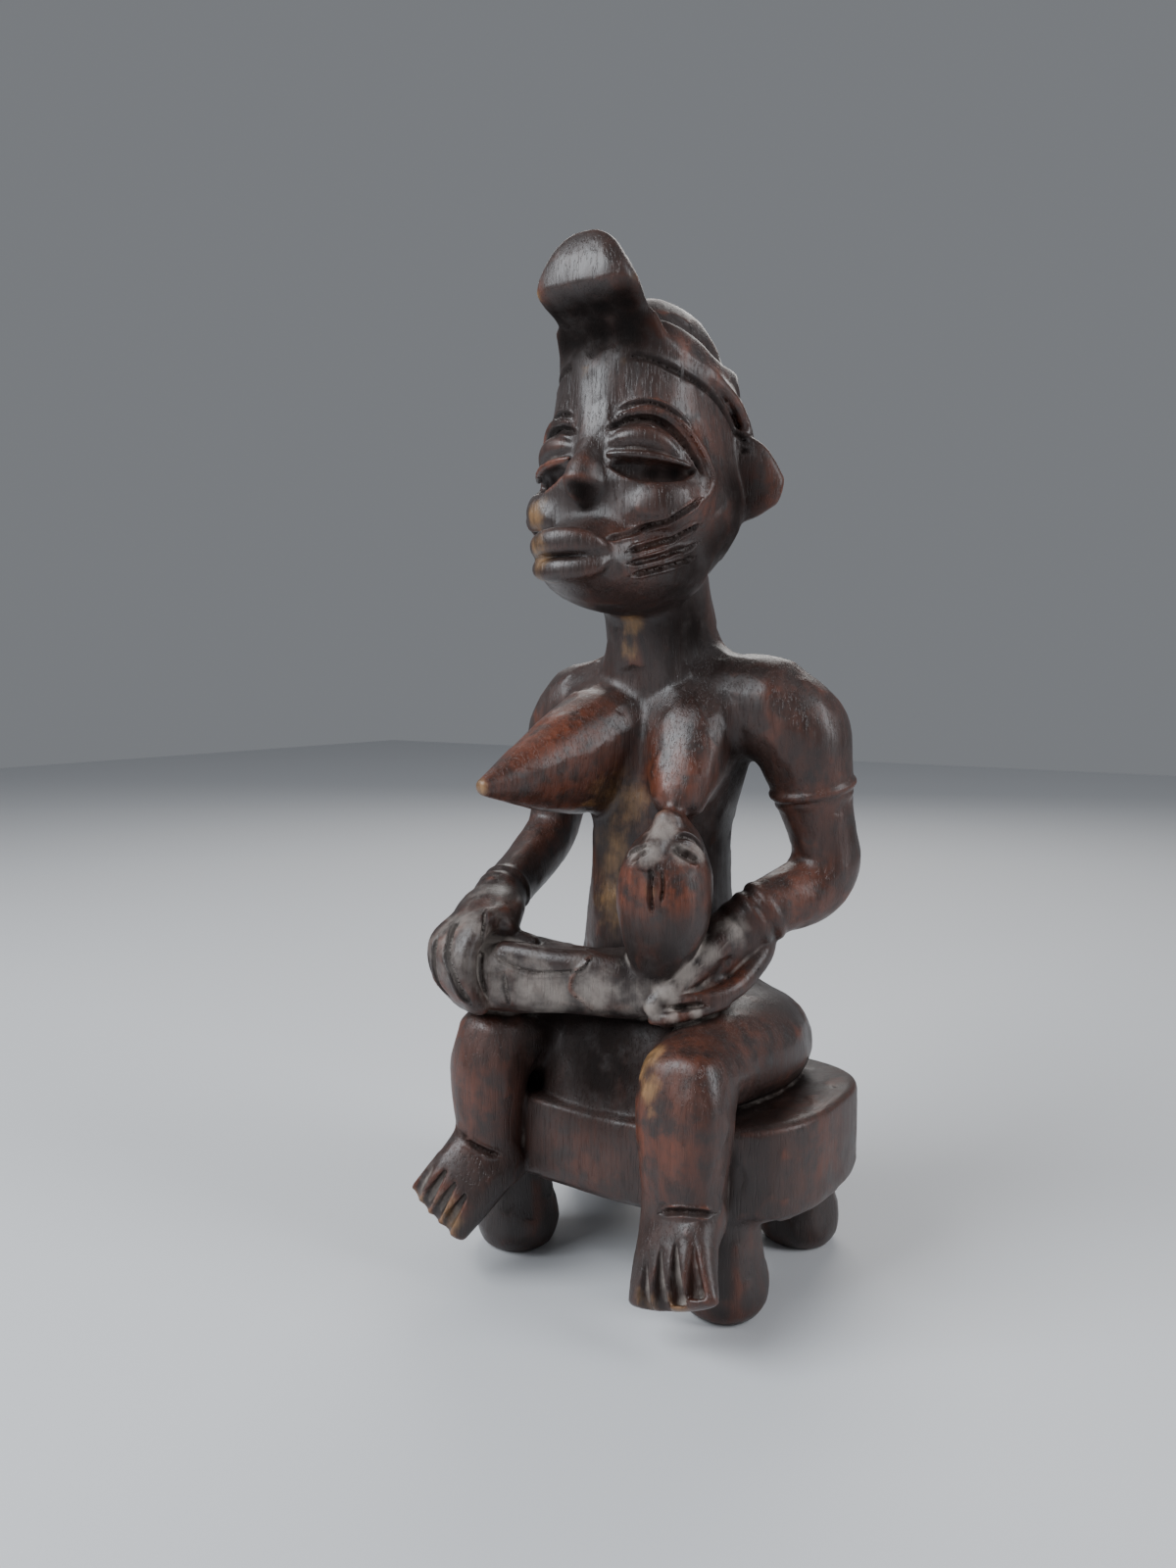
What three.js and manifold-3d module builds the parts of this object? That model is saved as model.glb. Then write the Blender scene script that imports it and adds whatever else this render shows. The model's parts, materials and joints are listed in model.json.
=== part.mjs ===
// A seated mother nursing the child that lies across her lap, on a four-legged stool,
// carved with the stool from one block of dark hardwood.
// Millimetres, +Z up. She faces -Y, so +X is her left, and the origin is on the ground under the
// middle of the whole carving. Everything is one solid, because the real figure is one piece of wood.
import * as THREE from "three";
import { mergeVertices } from "three/addons/utils/BufferGeometryUtils.js";
import Module from "manifold-3d";

const wasm = await Module();
wasm.setup();

// Stool sizes.
const seatWidth = 127;
const seatDepth = 86;
const seatThickness = 28;
const seatSaddle = 4; // rise of the seat's two sides above its middle
const seatEdge = 5; // rounding of the seat's top and bottom edges
const seatSquareness = 2.9; // 2 is an ellipse, and larger is closer to a rectangle
const stoolLegHeight = 29;
const stoolLegRadius = 13; // at the bulge, near the ground
const stoolLegFoot = 9.4; // radius of the flat that stands on the ground
const stoolLegNeck = 10; // radius where it meets the seat
const stoolLegInsetX = 25; // from the seat's side to the leg's centre
const stoolLegInsetY = 16; // from the seat's front or back to the leg's centre

// From the middle of the seat forward to the middle of the whole carving, feet included.
const middleAhead = 11.4;

// Figure size: from the seat to the top of the crest. Every other size of the figure is given for a
// sitting height of 255 and keeps its share of it.
const sittingHeight = 255;
const unit = sittingHeight / 255;

// Places that follow from the sizes above.
const seatTop = stoolLegHeight + seatThickness;
const seatFront = -seatDepth / 2;
const stoolLegX = seatWidth / 2 - stoolLegInsetX;
const stoolLegY = seatDepth / 2 - stoolLegInsetY;

// Places on the figure are rows of [x, y, z, ...radii], measured from the middle of the seat's top.
const onSeat = ([x, y, z, ...radii]) => [x * unit, y * unit, seatTop + z * unit, ...radii.map((r) => r * unit)];
// The same for the lower legs and feet, whose y counts from the front of the seat.
const onFront = ([x, y, z, ...radii]) => [
  x * unit,
  seatFront + y * unit,
  seatTop + z * unit,
  ...radii.map((r) => r * unit),
];
const mirrored = (rows) => rows.map(([x, ...rest]) => [-x, ...rest]);
const radians = (degrees) => (degrees * Math.PI) / 180;

// Row number t of a table, with a smooth Catmull-Rom curve between its rows.
function rowAt(rows, t) {
  const last = rows.length - 1;
  const i = Math.min(Math.floor(t), last - 1);
  const s = t - i;
  const row = (k) => rows[Math.max(0, Math.min(last, k))];
  return rows[0].map((_, c) => {
    const p0 = i > 0 ? row(i - 1)[c] : 2 * row(0)[c] - row(1)[c];
    const p1 = row(i)[c];
    const p2 = row(i + 1)[c];
    const p3 = i < last - 1 ? row(i + 2)[c] : 2 * row(last)[c] - row(last - 1)[c];
    const cubic = 3 * p1 - p0 - 3 * p2 + p3;
    const square = 2 * p0 - 5 * p1 + 4 * p2 - p3;
    return 0.5 * (2 * p1 + (p2 - p0) * s + square * s * s + cubic * s * s * s);
  });
}

// A geometry as a solid that can be joined and cut. A sphere's poles hold triangles with no area,
// which are left out.
function solid(geometry) {
  const bare = new THREE.BufferGeometry();
  bare.setAttribute("position", geometry.getAttribute("position"));
  bare.setIndex(geometry.index);
  const merged = mergeVertices(bare, 1e-4);
  const corners = merged.index.array;
  const kept = [];
  for (let i = 0; i < corners.length; i += 3) {
    const [a, b, c] = [corners[i], corners[i + 1], corners[i + 2]];
    if (a !== b && b !== c && c !== a) kept.push(a, b, c);
  }
  return new wasm.Manifold(
    new wasm.Mesh({
      numProp: 3,
      vertProperties: new Float32Array(merged.getAttribute("position").array),
      triVerts: new Uint32Array(kept),
    }),
  );
}
const join = (solids) => solids.reduce((all, one) => all.add(one));
const cut = (body, tools) => tools.reduce((rest, tool) => rest.subtract(tool), body);

// A closed surface over rings of points, with a pole at each end.
function skin(rings, startPole, endPole) {
  const sides = rings[0].length;
  const points = [...rings.flat(), startPole, endPole];
  const at = (ring, side) => ring * sides + (side % sides);
  const startAt = points.length - 2;
  const endAt = points.length - 1;
  const index = [];
  for (let side = 0; side < sides; side++) {
    index.push(startAt, at(0, side + 1), at(0, side));
    index.push(endAt, at(rings.length - 1, side), at(rings.length - 1, side + 1));
    for (let ring = 0; ring < rings.length - 1; ring++) {
      index.push(at(ring, side), at(ring, side + 1), at(ring + 1, side + 1));
      index.push(at(ring, side), at(ring + 1, side + 1), at(ring + 1, side));
    }
  }
  const geometry = new THREE.BufferGeometry();
  const numbers = points.flatMap((point) => point.toArray());
  geometry.setAttribute("position", new THREE.Float32BufferAttribute(numbers, 3));
  geometry.setIndex(index);
  return geometry;
}

const signedPower = (value, power) => Math.sign(value) * Math.abs(value) ** power;

// A form lofted along a curved middle line. A row is [x, y, z, across, front, back]: a point of the
// line and the section's three radii there. across is the direction that the first radius keeps to,
// and back is on the side of (tangent x across). caps are the lengths of the rounded ends, for a
// sitting height of 255.
function form(rows, { across = [1, 0, 0], sides = 14, steps = 1, caps = [0, 0], square = 2, relief } = {}) {
  const width = new THREE.Vector3(...across);
  const last = rows.length - 1;
  const section = (t, ahead, shrink) => {
    const row = rowAt(rows, t);
    const before = rowAt(rows, Math.max(0, t - 0.05));
    const after = rowAt(rows, Math.min(last, t + 0.05));
    const tangent = new THREE.Vector3(after[0] - before[0], after[1] - before[1], after[2] - before[2]);
    tangent.normalize();
    const u = width.clone().addScaledVector(tangent, -width.dot(tangent)).normalize();
    const v = tangent.clone().cross(u);
    const centre = new THREE.Vector3(row[0], row[1], row[2]).addScaledVector(tangent, ahead);
    const ring = [];
    for (let side = 0; side < sides; side++) {
      const angle = (side / sides) * 2 * Math.PI;
      const reach = Math.sin(angle) < 0 ? row[4] : row[5];
      const point = centre.clone();
      point.addScaledVector(u, signedPower(Math.cos(angle), 2 / square) * row[3] * shrink);
      point.addScaledVector(v, signedPower(Math.sin(angle), 2 / square) * reach * shrink);
      ring.push(point);
    }
    return { ring, centre };
  };
  const turns = sides < 8 ? [45] : [60, 30];
  const [startCap, endCap] = caps.map((cap) => cap * unit);
  const rings = [];
  if (startCap > 0) {
    for (const turn of turns) {
      rings.push(section(0, -startCap * Math.sin(radians(turn)), Math.cos(radians(turn))).ring);
    }
  }
  for (let i = 0; i <= last * steps; i++) rings.push(section(i / steps, 0, 1).ring);
  if (endCap > 0) {
    for (const turn of [...turns].reverse()) {
      rings.push(section(last, endCap * Math.sin(radians(turn)), Math.cos(radians(turn))).ring);
    }
  }
  const startPole = section(0, -startCap, 1).centre;
  const endPole = section(last, endCap, 1).centre;
  if (relief) {
    rings.flat().forEach(relief);
    relief(startPole);
    relief(endPole);
  }
  return solid(skin(rings, startPole, endPole));
}

// The seat: a thick slab with rounded corners, whose two sides rise a little.
function seat() {
  const w = seatWidth / 2;
  const d = seatDepth / 2;
  const e = seatEdge;
  const bottom = stoolLegHeight;
  const level = (z, inset) => [0, 0, z, w - inset, d - inset, d - inset];
  const rows = [
    level(bottom, e),
    level(bottom + e * 0.35, e * 0.35),
    level(bottom + e, 0),
    level(seatTop - e, 0),
    level(seatTop - e * 0.35, e * 0.3),
    level(seatTop, e),
  ];
  const saddle = (point) => {
    const height = (point.z - bottom) / seatThickness;
    point.z += seatSaddle * height * (Math.abs(point.x) / w) ** 2;
  };
  return form(rows, { sides: 28, square: seatSquareness, relief: saddle });
}

// One of the stool's four legs: a short knob, broad near the ground.
function stoolLeg(x, y) {
  const row = (share, radius) => [x, y, stoolLegHeight * share, radius, radius, radius];
  const rows = [
    row(0, stoolLegFoot),
    row(0.07, stoolLegRadius * 0.88),
    row(0.3, stoolLegRadius),
    row(0.65, (stoolLegRadius + stoolLegNeck) / 2),
    row(1.1, stoolLegNeck),
  ];
  return form(rows, { sides: 10 });
}

function torso() {
  const rows = [
    [0, 9, 0, 36, 25, 24],
    [0, 8, 12, 37, 26, 25],
    [0, 4, 32, 29, 26, 22],
    [0, 1, 52, 23.5, 24, 21],
    [0, 1, 76, 22, 21.5, 20],
    [0, 2, 100, 27, 20, 19],
    [0, 3, 114, 32, 18, 18],
    [0, 4, 125, 31, 16, 16],
    [0, 4, 133, 26, 14, 14],
    [0, 3, 141, 18, 14, 14],
  ];
  return form(rows.map(onSeat), { sides: 16, square: 2.2 });
}

function neck() {
  const rows = [
    [0, 1, 138, 18, 16, 15.5],
    [0, -2, 150, 15.2, 15, 15],
    [0, -6, 166, 15.2, 15, 14],
  ];
  return form(rows.map(onSeat), { sides: 12 });
}

// Sections of the head, from under the chin to the crown, and of the muzzle, from inside the head
// to the front of the mouth.
const skullSquareness = 2.5;
const skull = [
  [0, -18, 151, 9, 12, 10],
  [0, -18, 156, 17, 21, 14],
  [0, -16, 163, 23, 26, 16],
  [0, -14, 173, 29.5, 30, 20.5],
  [0, -12, 183, 31, 32, 25],
  [0, -11, 193, 28.5, 33, 27],
  [0, -10, 203, 27, 34, 28],
  [0, -9, 213, 25.5, 33.5, 27],
  [0, -8, 223, 21.5, 28.5, 24],
  [0, -7, 230, 15, 20, 17],
].map(onSeat);
const muzzle = [
  [0, -14, 165, 24, 15, 12],
  [0, -30, 164, 22, 13.5, 12],
  [0, -42, 163, 18, 11.5, 11],
  [0, -50, 162.5, 14, 9.5, 9],
  [0, -56, 162, 10, 7, 7],
].map(onSeat);

// The distance from the head's upright middle line to its surface, at an angle from straight ahead
// towards her left and at a height over the seat.
function faceReach(angle, z) {
  const inSection = (rows, along, key, x, side, power) => {
    let i = 1;
    const sign = Math.sign(rows[1][key] - rows[0][key]);
    if (sign * (along - rows[0][key]) < 0 || sign * (along - rows[rows.length - 1][key]) > 0) return false;
    while (i < rows.length - 1 && sign * (along - rows[i][key]) > 0) i++;
    const share = (along - rows[i - 1][key]) / (rows[i][key] - rows[i - 1][key]);
    const row = rows[i].map((value, c) => rows[i - 1][c] + (value - rows[i - 1][c]) * share);
    const offset = side - row[3 - key];
    const radius = offset < 0 ? row[4] : row[5];
    return (Math.abs(x) / row[3]) ** power + (Math.abs(offset) / radius) ** power <= 1;
  };
  for (let reach = 75 * unit; reach > 0; reach -= 0.1) {
    const x = reach * Math.sin(radians(angle));
    const y = -10 * unit - reach * Math.cos(radians(angle));
    const height = seatTop + z * unit;
    if (inSection(skull, height, 2, x, y, skullSquareness)) return reach;
    if (inSection(muzzle, y, 1, x, height, 2)) return reach;
  }
  return 0;
}

// A thin form that follows the face through places given as [angle, height, radius].
function faceLine(places, { lift = 0, sides = 5 } = {}) {
  const rows = places.map(([angle, z, radius]) => {
    const reach = faceReach(angle, z) + lift * unit;
    const x = reach * Math.sin(radians(angle));
    const y = -10 * unit - reach * Math.cos(radians(angle));
    return [x, y, seatTop + z * unit, radius * unit, radius * unit, radius * unit];
  });
  const middle = places[Math.floor(places.length / 2)][0];
  const outward = [Math.sin(radians(middle)), -Math.cos(radians(middle)), 0];
  return form(rows, { across: outward, sides });
}
const bothSides = (make) => [make(1), make(-1)];

function head() {
  const face = form(skull, { sides: 22, caps: [3, 4], square: skullSquareness });
  const mouth = form(muzzle, { sides: 12, caps: [0, 2] });
  const lip = (z, halfWidth, radius, forward) => {
    const rows = [
      [-halfWidth, -50, z, radius * 0.5, radius * 0.5, radius * 0.5],
      [-halfWidth * 0.6, -55 - forward, z, radius * 0.95, radius * 0.95, radius * 0.95],
      [0, -57.5 - forward, z, radius, radius, radius],
      [halfWidth * 0.6, -55 - forward, z, radius * 0.95, radius * 0.95, radius * 0.95],
      [halfWidth, -50, z, radius * 0.5, radius * 0.5, radius * 0.5],
    ];
    return form(rows.map(onSeat), { across: [0, 1, 0], sides: 7 });
  };
  const nose = form(
    [
      [0, -37, 180.5, 7, 12.5, 4],
      [0, -37, 184.5, 7, 16, 4],
      [0, -37, 192, 5, 15, 4],
      [0, -37, 202, 4.5, 12, 4],
      [0, -37, 212, 5, 9.5, 4],
      [0, -36, 221, 5, 6, 4],
    ].map(onSeat),
    { sides: 8, square: 2.2 },
  );
  const lids = bothSides((side) => {
    const lid = [[12, 195.2, 2.2], [22, 196.4, 4.8], [36, 195.4, 5], [51, 191, 2.2]];
    return faceLine(lid.map(([angle, z, radius]) => [side * angle, z, radius]), { lift: -2, sides: 8 });
  });
  const rims = bothSides((side) => {
    const rim = [
      [12, 205, 1],
      [27, 206.3, 1.8],
      [45, 203.5, 2],
      [60, 196.5, 2.2],
      [67, 187, 2.4],
      [60, 178, 2.4],
      [40, 172.5, 2.2],
      [18, 167.7, 1.4],
    ];
    return faceLine(rim.map(([angle, z, radius]) => [side * angle, z, radius]), { lift: -0.4 });
  });
  const body = join([face, mouth, lip(166, 12, 3.6, 0), lip(158.6, 11, 3.4, 0), nose, ...lids, ...rims]);
  const grooves = [1, -1].flatMap((side) => {
    const line = (places, lift) =>
      faceLine(places.map(([angle, z, radius]) => [side * angle, z, radius]), { lift, sides: 4 });
    return [
      line([[10, 193.8, 0.8], [24, 194.2, 1.4], [40, 192.5, 1.4], [54, 188.5, 0.7]], 2),
      line([[11, 200.5, 0.8], [26, 202.2, 1.5], [46, 198.5, 1.6], [58, 190.5, 0.8]], 0.4),
      line([[13, 188.7, 0.8], [30, 187, 2.6], [51, 185.8, 0.8]], 0.5),
      ...[0, 1, 2].map((row) =>
        line([[24, 165.2 - 3 * row, 0.7], [42, 167.3 - 3 * row, 1.3], [62, 172.5 - 3.6 * row, 0.7]], 0),
      ),
    ];
  });
  return cut(body, grooves);
}

// Her hair is a close cap with a raised edge, which runs up into the crest.
function hair() {
  const shell = form(
    skull.slice(5).map(([x, y, z, w, f, b]) => [x, y, z + unit, w + 1.4 * unit, f + 1.4 * unit, b + 1.4 * unit]),
    { sides: 22, caps: [0, 4], square: skullSquareness },
  );
  const round = (y, z, radius) => {
    const tool = new THREE.CylinderGeometry(radius * unit, radius * unit, 100 * unit, 20);
    tool.rotateZ(Math.PI / 2);
    tool.translate(0, y * unit, seatTop + z * unit);
    return solid(tool);
  };
  return cut(shell, [round(-10, 176, 46.5), round(-30, 183, 39)]);
}

function crest() {
  const front = form(
    [
      [0, -22, 218, 20, 15.5, 14],
      [0, -26, 227, 17, 14, 12],
      [0, -32, 234, 15.5, 12, 9],
      [-1, -38, 239.5, 15, 13.5, 7],
      [-1, -41, 245.5, 13.5, 10.5, 6],
      [-1, -42, 250.5, 11, 7, 5],
      [-1, -42.5, 253.5, 7, 3.5, 3],
    ].map(onSeat),
    { across: [0.97, 0.24, 0], sides: 12, caps: [0, 1], square: 2.4 },
  );
  const rear = form(
    [
      [0, -18, 220, 13, 9, 7],
      [0, -6, 232, 13, 13, 9],
      [0, 7, 231, 15, 14, 9],
      [0, 15, 220, 17, 13, 8],
      [0, 18, 206, 17, 11.5, 8],
      [0, 17, 190, 14, 10, 8],
      [0, 12, 172, 8, 8, 6],
    ].map(onSeat),
    { sides: 12, square: 1.7 },
  );
  return join([front, rear]);
}

// A flange that stands out from the head, hollowed on its front.
function ear(side) {
  const flange = (shrink, forward) =>
    form(
      [
        [side * 23, 2 - forward, 190, 15.5 * shrink, 4.5, 4.5],
        [side * 30, 4 - forward, 189.5, 14 * shrink, 4, 4],
        [side * 36, 5.5 - forward, 188, 10.5 * shrink, 3.2, 3.2],
        [side * 39.3, 6.5 - forward, 187, 5.5 * shrink, 2.4, 2.4],
      ].map(onSeat),
      { across: [0, 0, 1], sides: 10, caps: [0, 1 * shrink] },
    );
  const hollow = flange(0.66, 4.6).translate([-side * 2.2 * unit, 0, 0]);
  return cut(flange(1, 0), [hollow]);
}

function breasts() {
  const right = form(
    [
      [-14, -4, 112, 17, 18, 19],
      [-16.5, -22, 108, 14.5, 16, 16],
      [-19, -38, 104, 10.5, 11, 11],
      [-21.5, -53, 100.5, 6, 6, 6],
      [-23, -62, 98.5, 2.6, 2.6, 2.6],
    ].map(onSeat),
    { sides: 12, caps: [0, 2] },
  );
  const left = form(
    [
      [15, -5, 112, 16, 17, 18],
      [16.5, -15, 105, 12.5, 12.5, 12.5],
      [17.5, -22, 97, 8.5, 9, 9],
      [18, -26, 90, 4, 4.5, 4.5],
    ].map(onSeat),
    { sides: 10, caps: [0, 2] },
  );
  return join([right, left]);
}

// An arm with a band above the elbow and two bracelets at the wrist. A ring is [row, radius]: it
// stands out from the limb at that row number of the table.
function arm(rows, rings) {
  const limb = rows.map(onSeat);
  const rounded = [];
  for (let t = 0; t < limb.length; t++) {
    rounded.push(limb[t]);
    for (const [at, radius, width] of rings.filter(([at]) => Math.floor(at) === t)) {
      for (const [shift, lift] of [[-1, 0], [0, 1], [1, 0]]) {
        const row = rowAt(limb, at + shift * width);
        rounded.push([...row.slice(0, 3), ...row.slice(3).map((r) => r + lift * radius * unit)]);
      }
    }
  }
  return form(rounded, { across: [0, 1, 0], sides: 10 });
}
function leftArm() {
  return arm(
    [
      [28, 4, 124, 12.5, 12.5, 12.5],
      [38, 5, 121, 14.5, 14.5, 14.5],
      [44.5, 7, 113, 15, 15, 15],
      [46.5, 9, 104, 13.5, 13.5, 13.5],
      [48.5, 11.5, 90, 11, 11, 11],
      [50.5, 14, 79, 10.5, 10.5, 10.5],
      [50.5, 15, 70.5, 10.8, 10.8, 10.8],
      [46.5, 9, 65, 10.2, 10.2, 10.2],
      [40, -2, 60.5, 9, 9, 9],
      [33, -10, 54, 8, 8, 8],
    ],
    [[3.65, 1.3, 0.14], [8.4, 1, 0.12], [8.75, 1, 0.12]],
  );
}
function rightArm() {
  return arm(
    [
      [-24, 4, 122, 12, 12, 12],
      [-35, 5, 119.5, 13.5, 13.5, 13.5],
      [-41, 6.5, 111, 13.5, 13.5, 13.5],
      [-45, 9, 99, 11.5, 11.5, 11.5],
      [-48.5, 11, 86, 9.5, 9.5, 9.5],
      [-49.5, 8.5, 76.5, 8.8, 8.8, 8.8],
      [-48.5, -2, 69, 8.6, 8.6, 8.6],
      [-46.5, -17, 62.5, 8, 8, 8],
      [-44.5, -30, 58, 7.8, 7.8, 7.8],
    ],
    [[3.4, 1.2, 0.13], [7.55, 1, 0.1], [7.85, 1, 0.1]],
  );
}

// Her right hand closes over the child's legs, with the back of the hand on top.
function rightHand() {
  const palm = form([[-44.5, -29, 58.5, 8, 6.5, 6.5], [-42, -38, 56, 10, 7, 7], [-40.5, -45, 51, 10.5, 7, 8]].map(onSeat), {
    sides: 10,
    caps: [0, 4],
  });
  const finger = (number) => {
    const x = -32.5 - 5 * number;
    const back = 1.6 * number;
    const rows = [
      [x, -42 + back, 56.5 - number, 3.3, 3.3, 3.3],
      [x - 0.5, -52 + back, 54 - number, 3.5, 3.5, 3.5],
      [x - 1, -58.5 + back, 46.5, 3.5, 3.5, 3.5],
      [x + number * 0.4, -59 + back, 37.5, 3.3, 3.3, 3.3],
      [x + 1 + number, -53 + back, 30, 2.8, 2.8, 2.8],
    ];
    return form(rows.map(onSeat), { sides: 5, caps: [0, 2] });
  };
  const thumb = form([[-36, -34, 57, 4, 4, 4], [-29, -42, 54, 3.8, 3.8, 3.8], [-26, -50, 48, 3, 3, 3]].map(onSeat), {
    sides: 5,
    caps: [0, 2],
  });
  return join([palm, ...[0, 1, 2, 3].map(finger), thumb]);
}

// Her left hand holds the child's head from below, and its fingers lie on her thigh.
function leftHand() {
  const palm = form([[34, -8, 54.5, 9, 7, 7], [29, -15, 49, 10, 7, 7], [25, -21, 43, 9.5, 6, 6]].map(onSeat), {
    across: [0, 0.4, 1],
    sides: 10,
    caps: [0, 3],
  });
  const finger = (number) => {
    const rows = [
      [26 + 2.2 * number, -18 - 1.2 * number, 47 - 3.4 * number, 3.6, 3.6, 3.6],
      [19 + 2.8 * number, -27 - 1.4 * number, 41.5 - 3 * number, 3.6, 3.6, 3.6],
      [12 + 3.2 * number, -35 - number, 35 - 1.6 * number, 3, 3, 3],
    ];
    return form(rows.map(onSeat), { sides: 6, caps: [0, 2] });
  };
  return join([palm, ...[0, 1, 2, 3].map(finger)]);
}

function child() {
  const body = form(
    [
      [14, -29, 38, 11, 10, 10],
      [2, -31, 38, 11, 10.5, 10.5],
      [-12, -36, 37.5, 10.5, 10.5, 10.5],
      [-25, -42, 37.5, 9.5, 10.5, 10.5],
      [-40, -47, 40, 10, 11, 11],
    ].map(onSeat),
    { sides: 12, across: [0, 1, 0], caps: [0, 6] },
  );
  const childHead = form(
    [
      [20, -26, 88, 4.5, 4.5, 5],
      [20, -27, 82, 9.5, 9, 9],
      [19.5, -28.5, 75, 13, 12, 12],
      [19, -30, 66, 14.3, 13, 12],
      [19, -31, 57, 13.3, 12, 11],
      [18.5, -32, 48, 10, 9, 9],
      [18, -32, 43, 6.5, 6, 6],
    ].map(onSeat),
    { sides: 14, caps: [2, 4] },
  );
  const childNose = form([[20.5, -36, 86, 1, 1, 1], [20, -40, 78.5, 1.8, 2.4, 2.4]].map(onSeat), { sides: 5, caps: [0, 1] });
  const hairRidge = form([[19.5, -40.5, 73, 1.4, 2, 2], [18.5, -42.3, 58, 1.2, 2, 2]].map(onSeat), { sides: 5 });
  const childEye = (side) =>
    form([[20 + side * 3, -38.5, 81.2, 1, 1, 1], [20 + side * 9, -35.5, 79.6, 1, 1, 1]].map(onSeat), {
      across: [0, 0, 1],
      sides: 4,
    });
  const farLeg = form([[-14, -28, 42, 6, 6, 6], [-26, -33, 45, 6, 6, 6], [-36, -36, 47, 6, 6, 6]].map(onSeat), {
    sides: 8,
    across: [0, 1, 0],
    caps: [0, 3],
  });
  return cut(join([body, childHead, childNose, hairRidge, farLeg]), bothSides(childEye));
}

// Her thighs lie on the seat, and the lower legs stand against its front.
function thigh(side) {
  const rows = [
    [29, 14, 14, 20, 18, 17],
    [30, 0, 16, 20, 18, 17],
    [31.5, -16, 17, 18, 16, 16],
    [33, -30, 17.5, 15, 14, 13],
    [33, -40, 17.5, 14, 12, 12],
  ].map(onSeat);
  rows[4][1] = seatFront + 3 * unit;
  return form(side > 0 ? rows : mirrored(rows), { sides: 12, caps: [10, 9] });
}
function shin(side) {
  const left = [
    [34.5, -1, 20, 14.5, 11, 10],
    [35, -2.5, 8, 14.5, 11.5, 10],
    [35, -2.5, -6, 13, 11, 10],
    [34.5, -1.5, -18, 12.5, 10, 9],
    [34.5, -1, -26, 12.5, 9, 9],
  ];
  const right = [
    [-35, -1, 20, 13, 11, 10],
    [-35.5, -2.5, 8, 12.5, 11.5, 10],
    [-35.5, -2.5, -6, 11.5, 11, 10],
    [-35, -1.5, -18, 11.5, 10, 9],
    [-35, -1, -26, 11.5, 9, 9],
  ];
  return form((side > 0 ? left : right).map(onFront), { sides: 10, square: 2.4, caps: [5, 0] });
}
// The feet slope forward and down from the seat's front, with the big toes lowest.
function foot(side) {
  const left = [
    [35.5, -1, -18, 12.5, 9, 8],
    [36, -7, -25, 12.5, 8, 7],
    [38, -13, -33, 13.5, 6, 6],
    [40, -17, -39.5, 13.5, 4, 4],
  ];
  const right = [
    [-34, -1, -16, 12, 9, 8],
    [-35.5, -8, -21.5, 12, 8, 7],
    [-39, -15, -29, 12, 6, 6],
    [-43, -19, -35.5, 11.5, 4, 4],
  ];
  const across = side > 0 ? [0.87, 0.2, 0.4] : [0.76, 0.1, -0.62];
  const body = form((side > 0 ? left : right).map(onFront), { across, sides: 10, square: 2.4, caps: [0, 2.5] });
  const rows = (side > 0 ? left : right).map(onFront);
  const grooves = [-0.6, -0.2, 0.2, 0.6].map((share) => {
    const line = [1.4, 3].map((t, step) => {
      const row = rowAt(rows, t);
      const drift = share * row[3];
      const radius = [0.3, 1.9][step] * unit;
      const forward = [0, 4][step] * unit;
      return [
        row[0] + across[0] * drift + (side > 0 ? 0.2 : -0.5) * forward,
        row[1] + across[1] * drift - 0.55 * (row[5] + forward),
        row[2] + across[2] * drift + 0.85 * row[5] - 0.8 * forward,
        radius,
        radius * 1.6,
        radius * 1.6,
      ];
    });
    return form(line, { across, sides: 4 });
  });
  return cut(body, grooves);
}

// The loin between her thighs, which reaches the seat's front edge.
function loin() {
  const rows = [
    [0, -6, 14, 24, 18, 18],
    [0, -20, 9, 22, 14, 16],
    [0, -33, 4, 19, 9, 12],
  ];
  return form(rows.map(onSeat), { sides: 12, caps: [0, 5] });
}

const stool = [
  seat(),
  stoolLeg(stoolLegX, -stoolLegY),
  stoolLeg(-stoolLegX, -stoolLegY),
  stoolLeg(stoolLegX, stoolLegY),
  stoolLeg(-stoolLegX, stoolLegY),
];
const mother = [
  torso(),
  neck(),
  head(),
  hair(),
  crest(),
  ...bothSides(ear),
  breasts(),
  leftArm(),
  rightArm(),
  rightHand(),
  leftHand(),
  ...bothSides(thigh),
  ...bothSides(shin),
  ...bothSides(foot),
  loin(),
];
const carving = join([...stool, ...mother, child()]);

const wood = new THREE.MeshStandardMaterial({ color: 0x2a1610, roughness: 0.42, metalness: 0 });
const { vertProperties, triVerts } = carving.getMesh();
const geometry = new THREE.BufferGeometry();
geometry.setAttribute("position", new THREE.BufferAttribute(vertProperties, 3));
geometry.setIndex(new THREE.BufferAttribute(triVerts, 1));
geometry.translate(0, middleAhead, 0);
geometry.computeVertexNormals();
const figure = new THREE.Mesh(geometry, wood);
figure.name = "maternity_figure";
const part = new THREE.Group();
part.add(figure);
export default part;
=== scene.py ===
"""Seated mother nursing her child, on a four-legged stool: one carving in dark, waxed hardwood.

The rough forms of the carving are added one group after another, as a carver blocks them out. They
are then fused into one block, faceted with a knife, cut with the fine lines and given the wood.
Tables are in millimetres over the middle of the seat's top; she faces -Y and +X is her left.
"""

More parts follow.
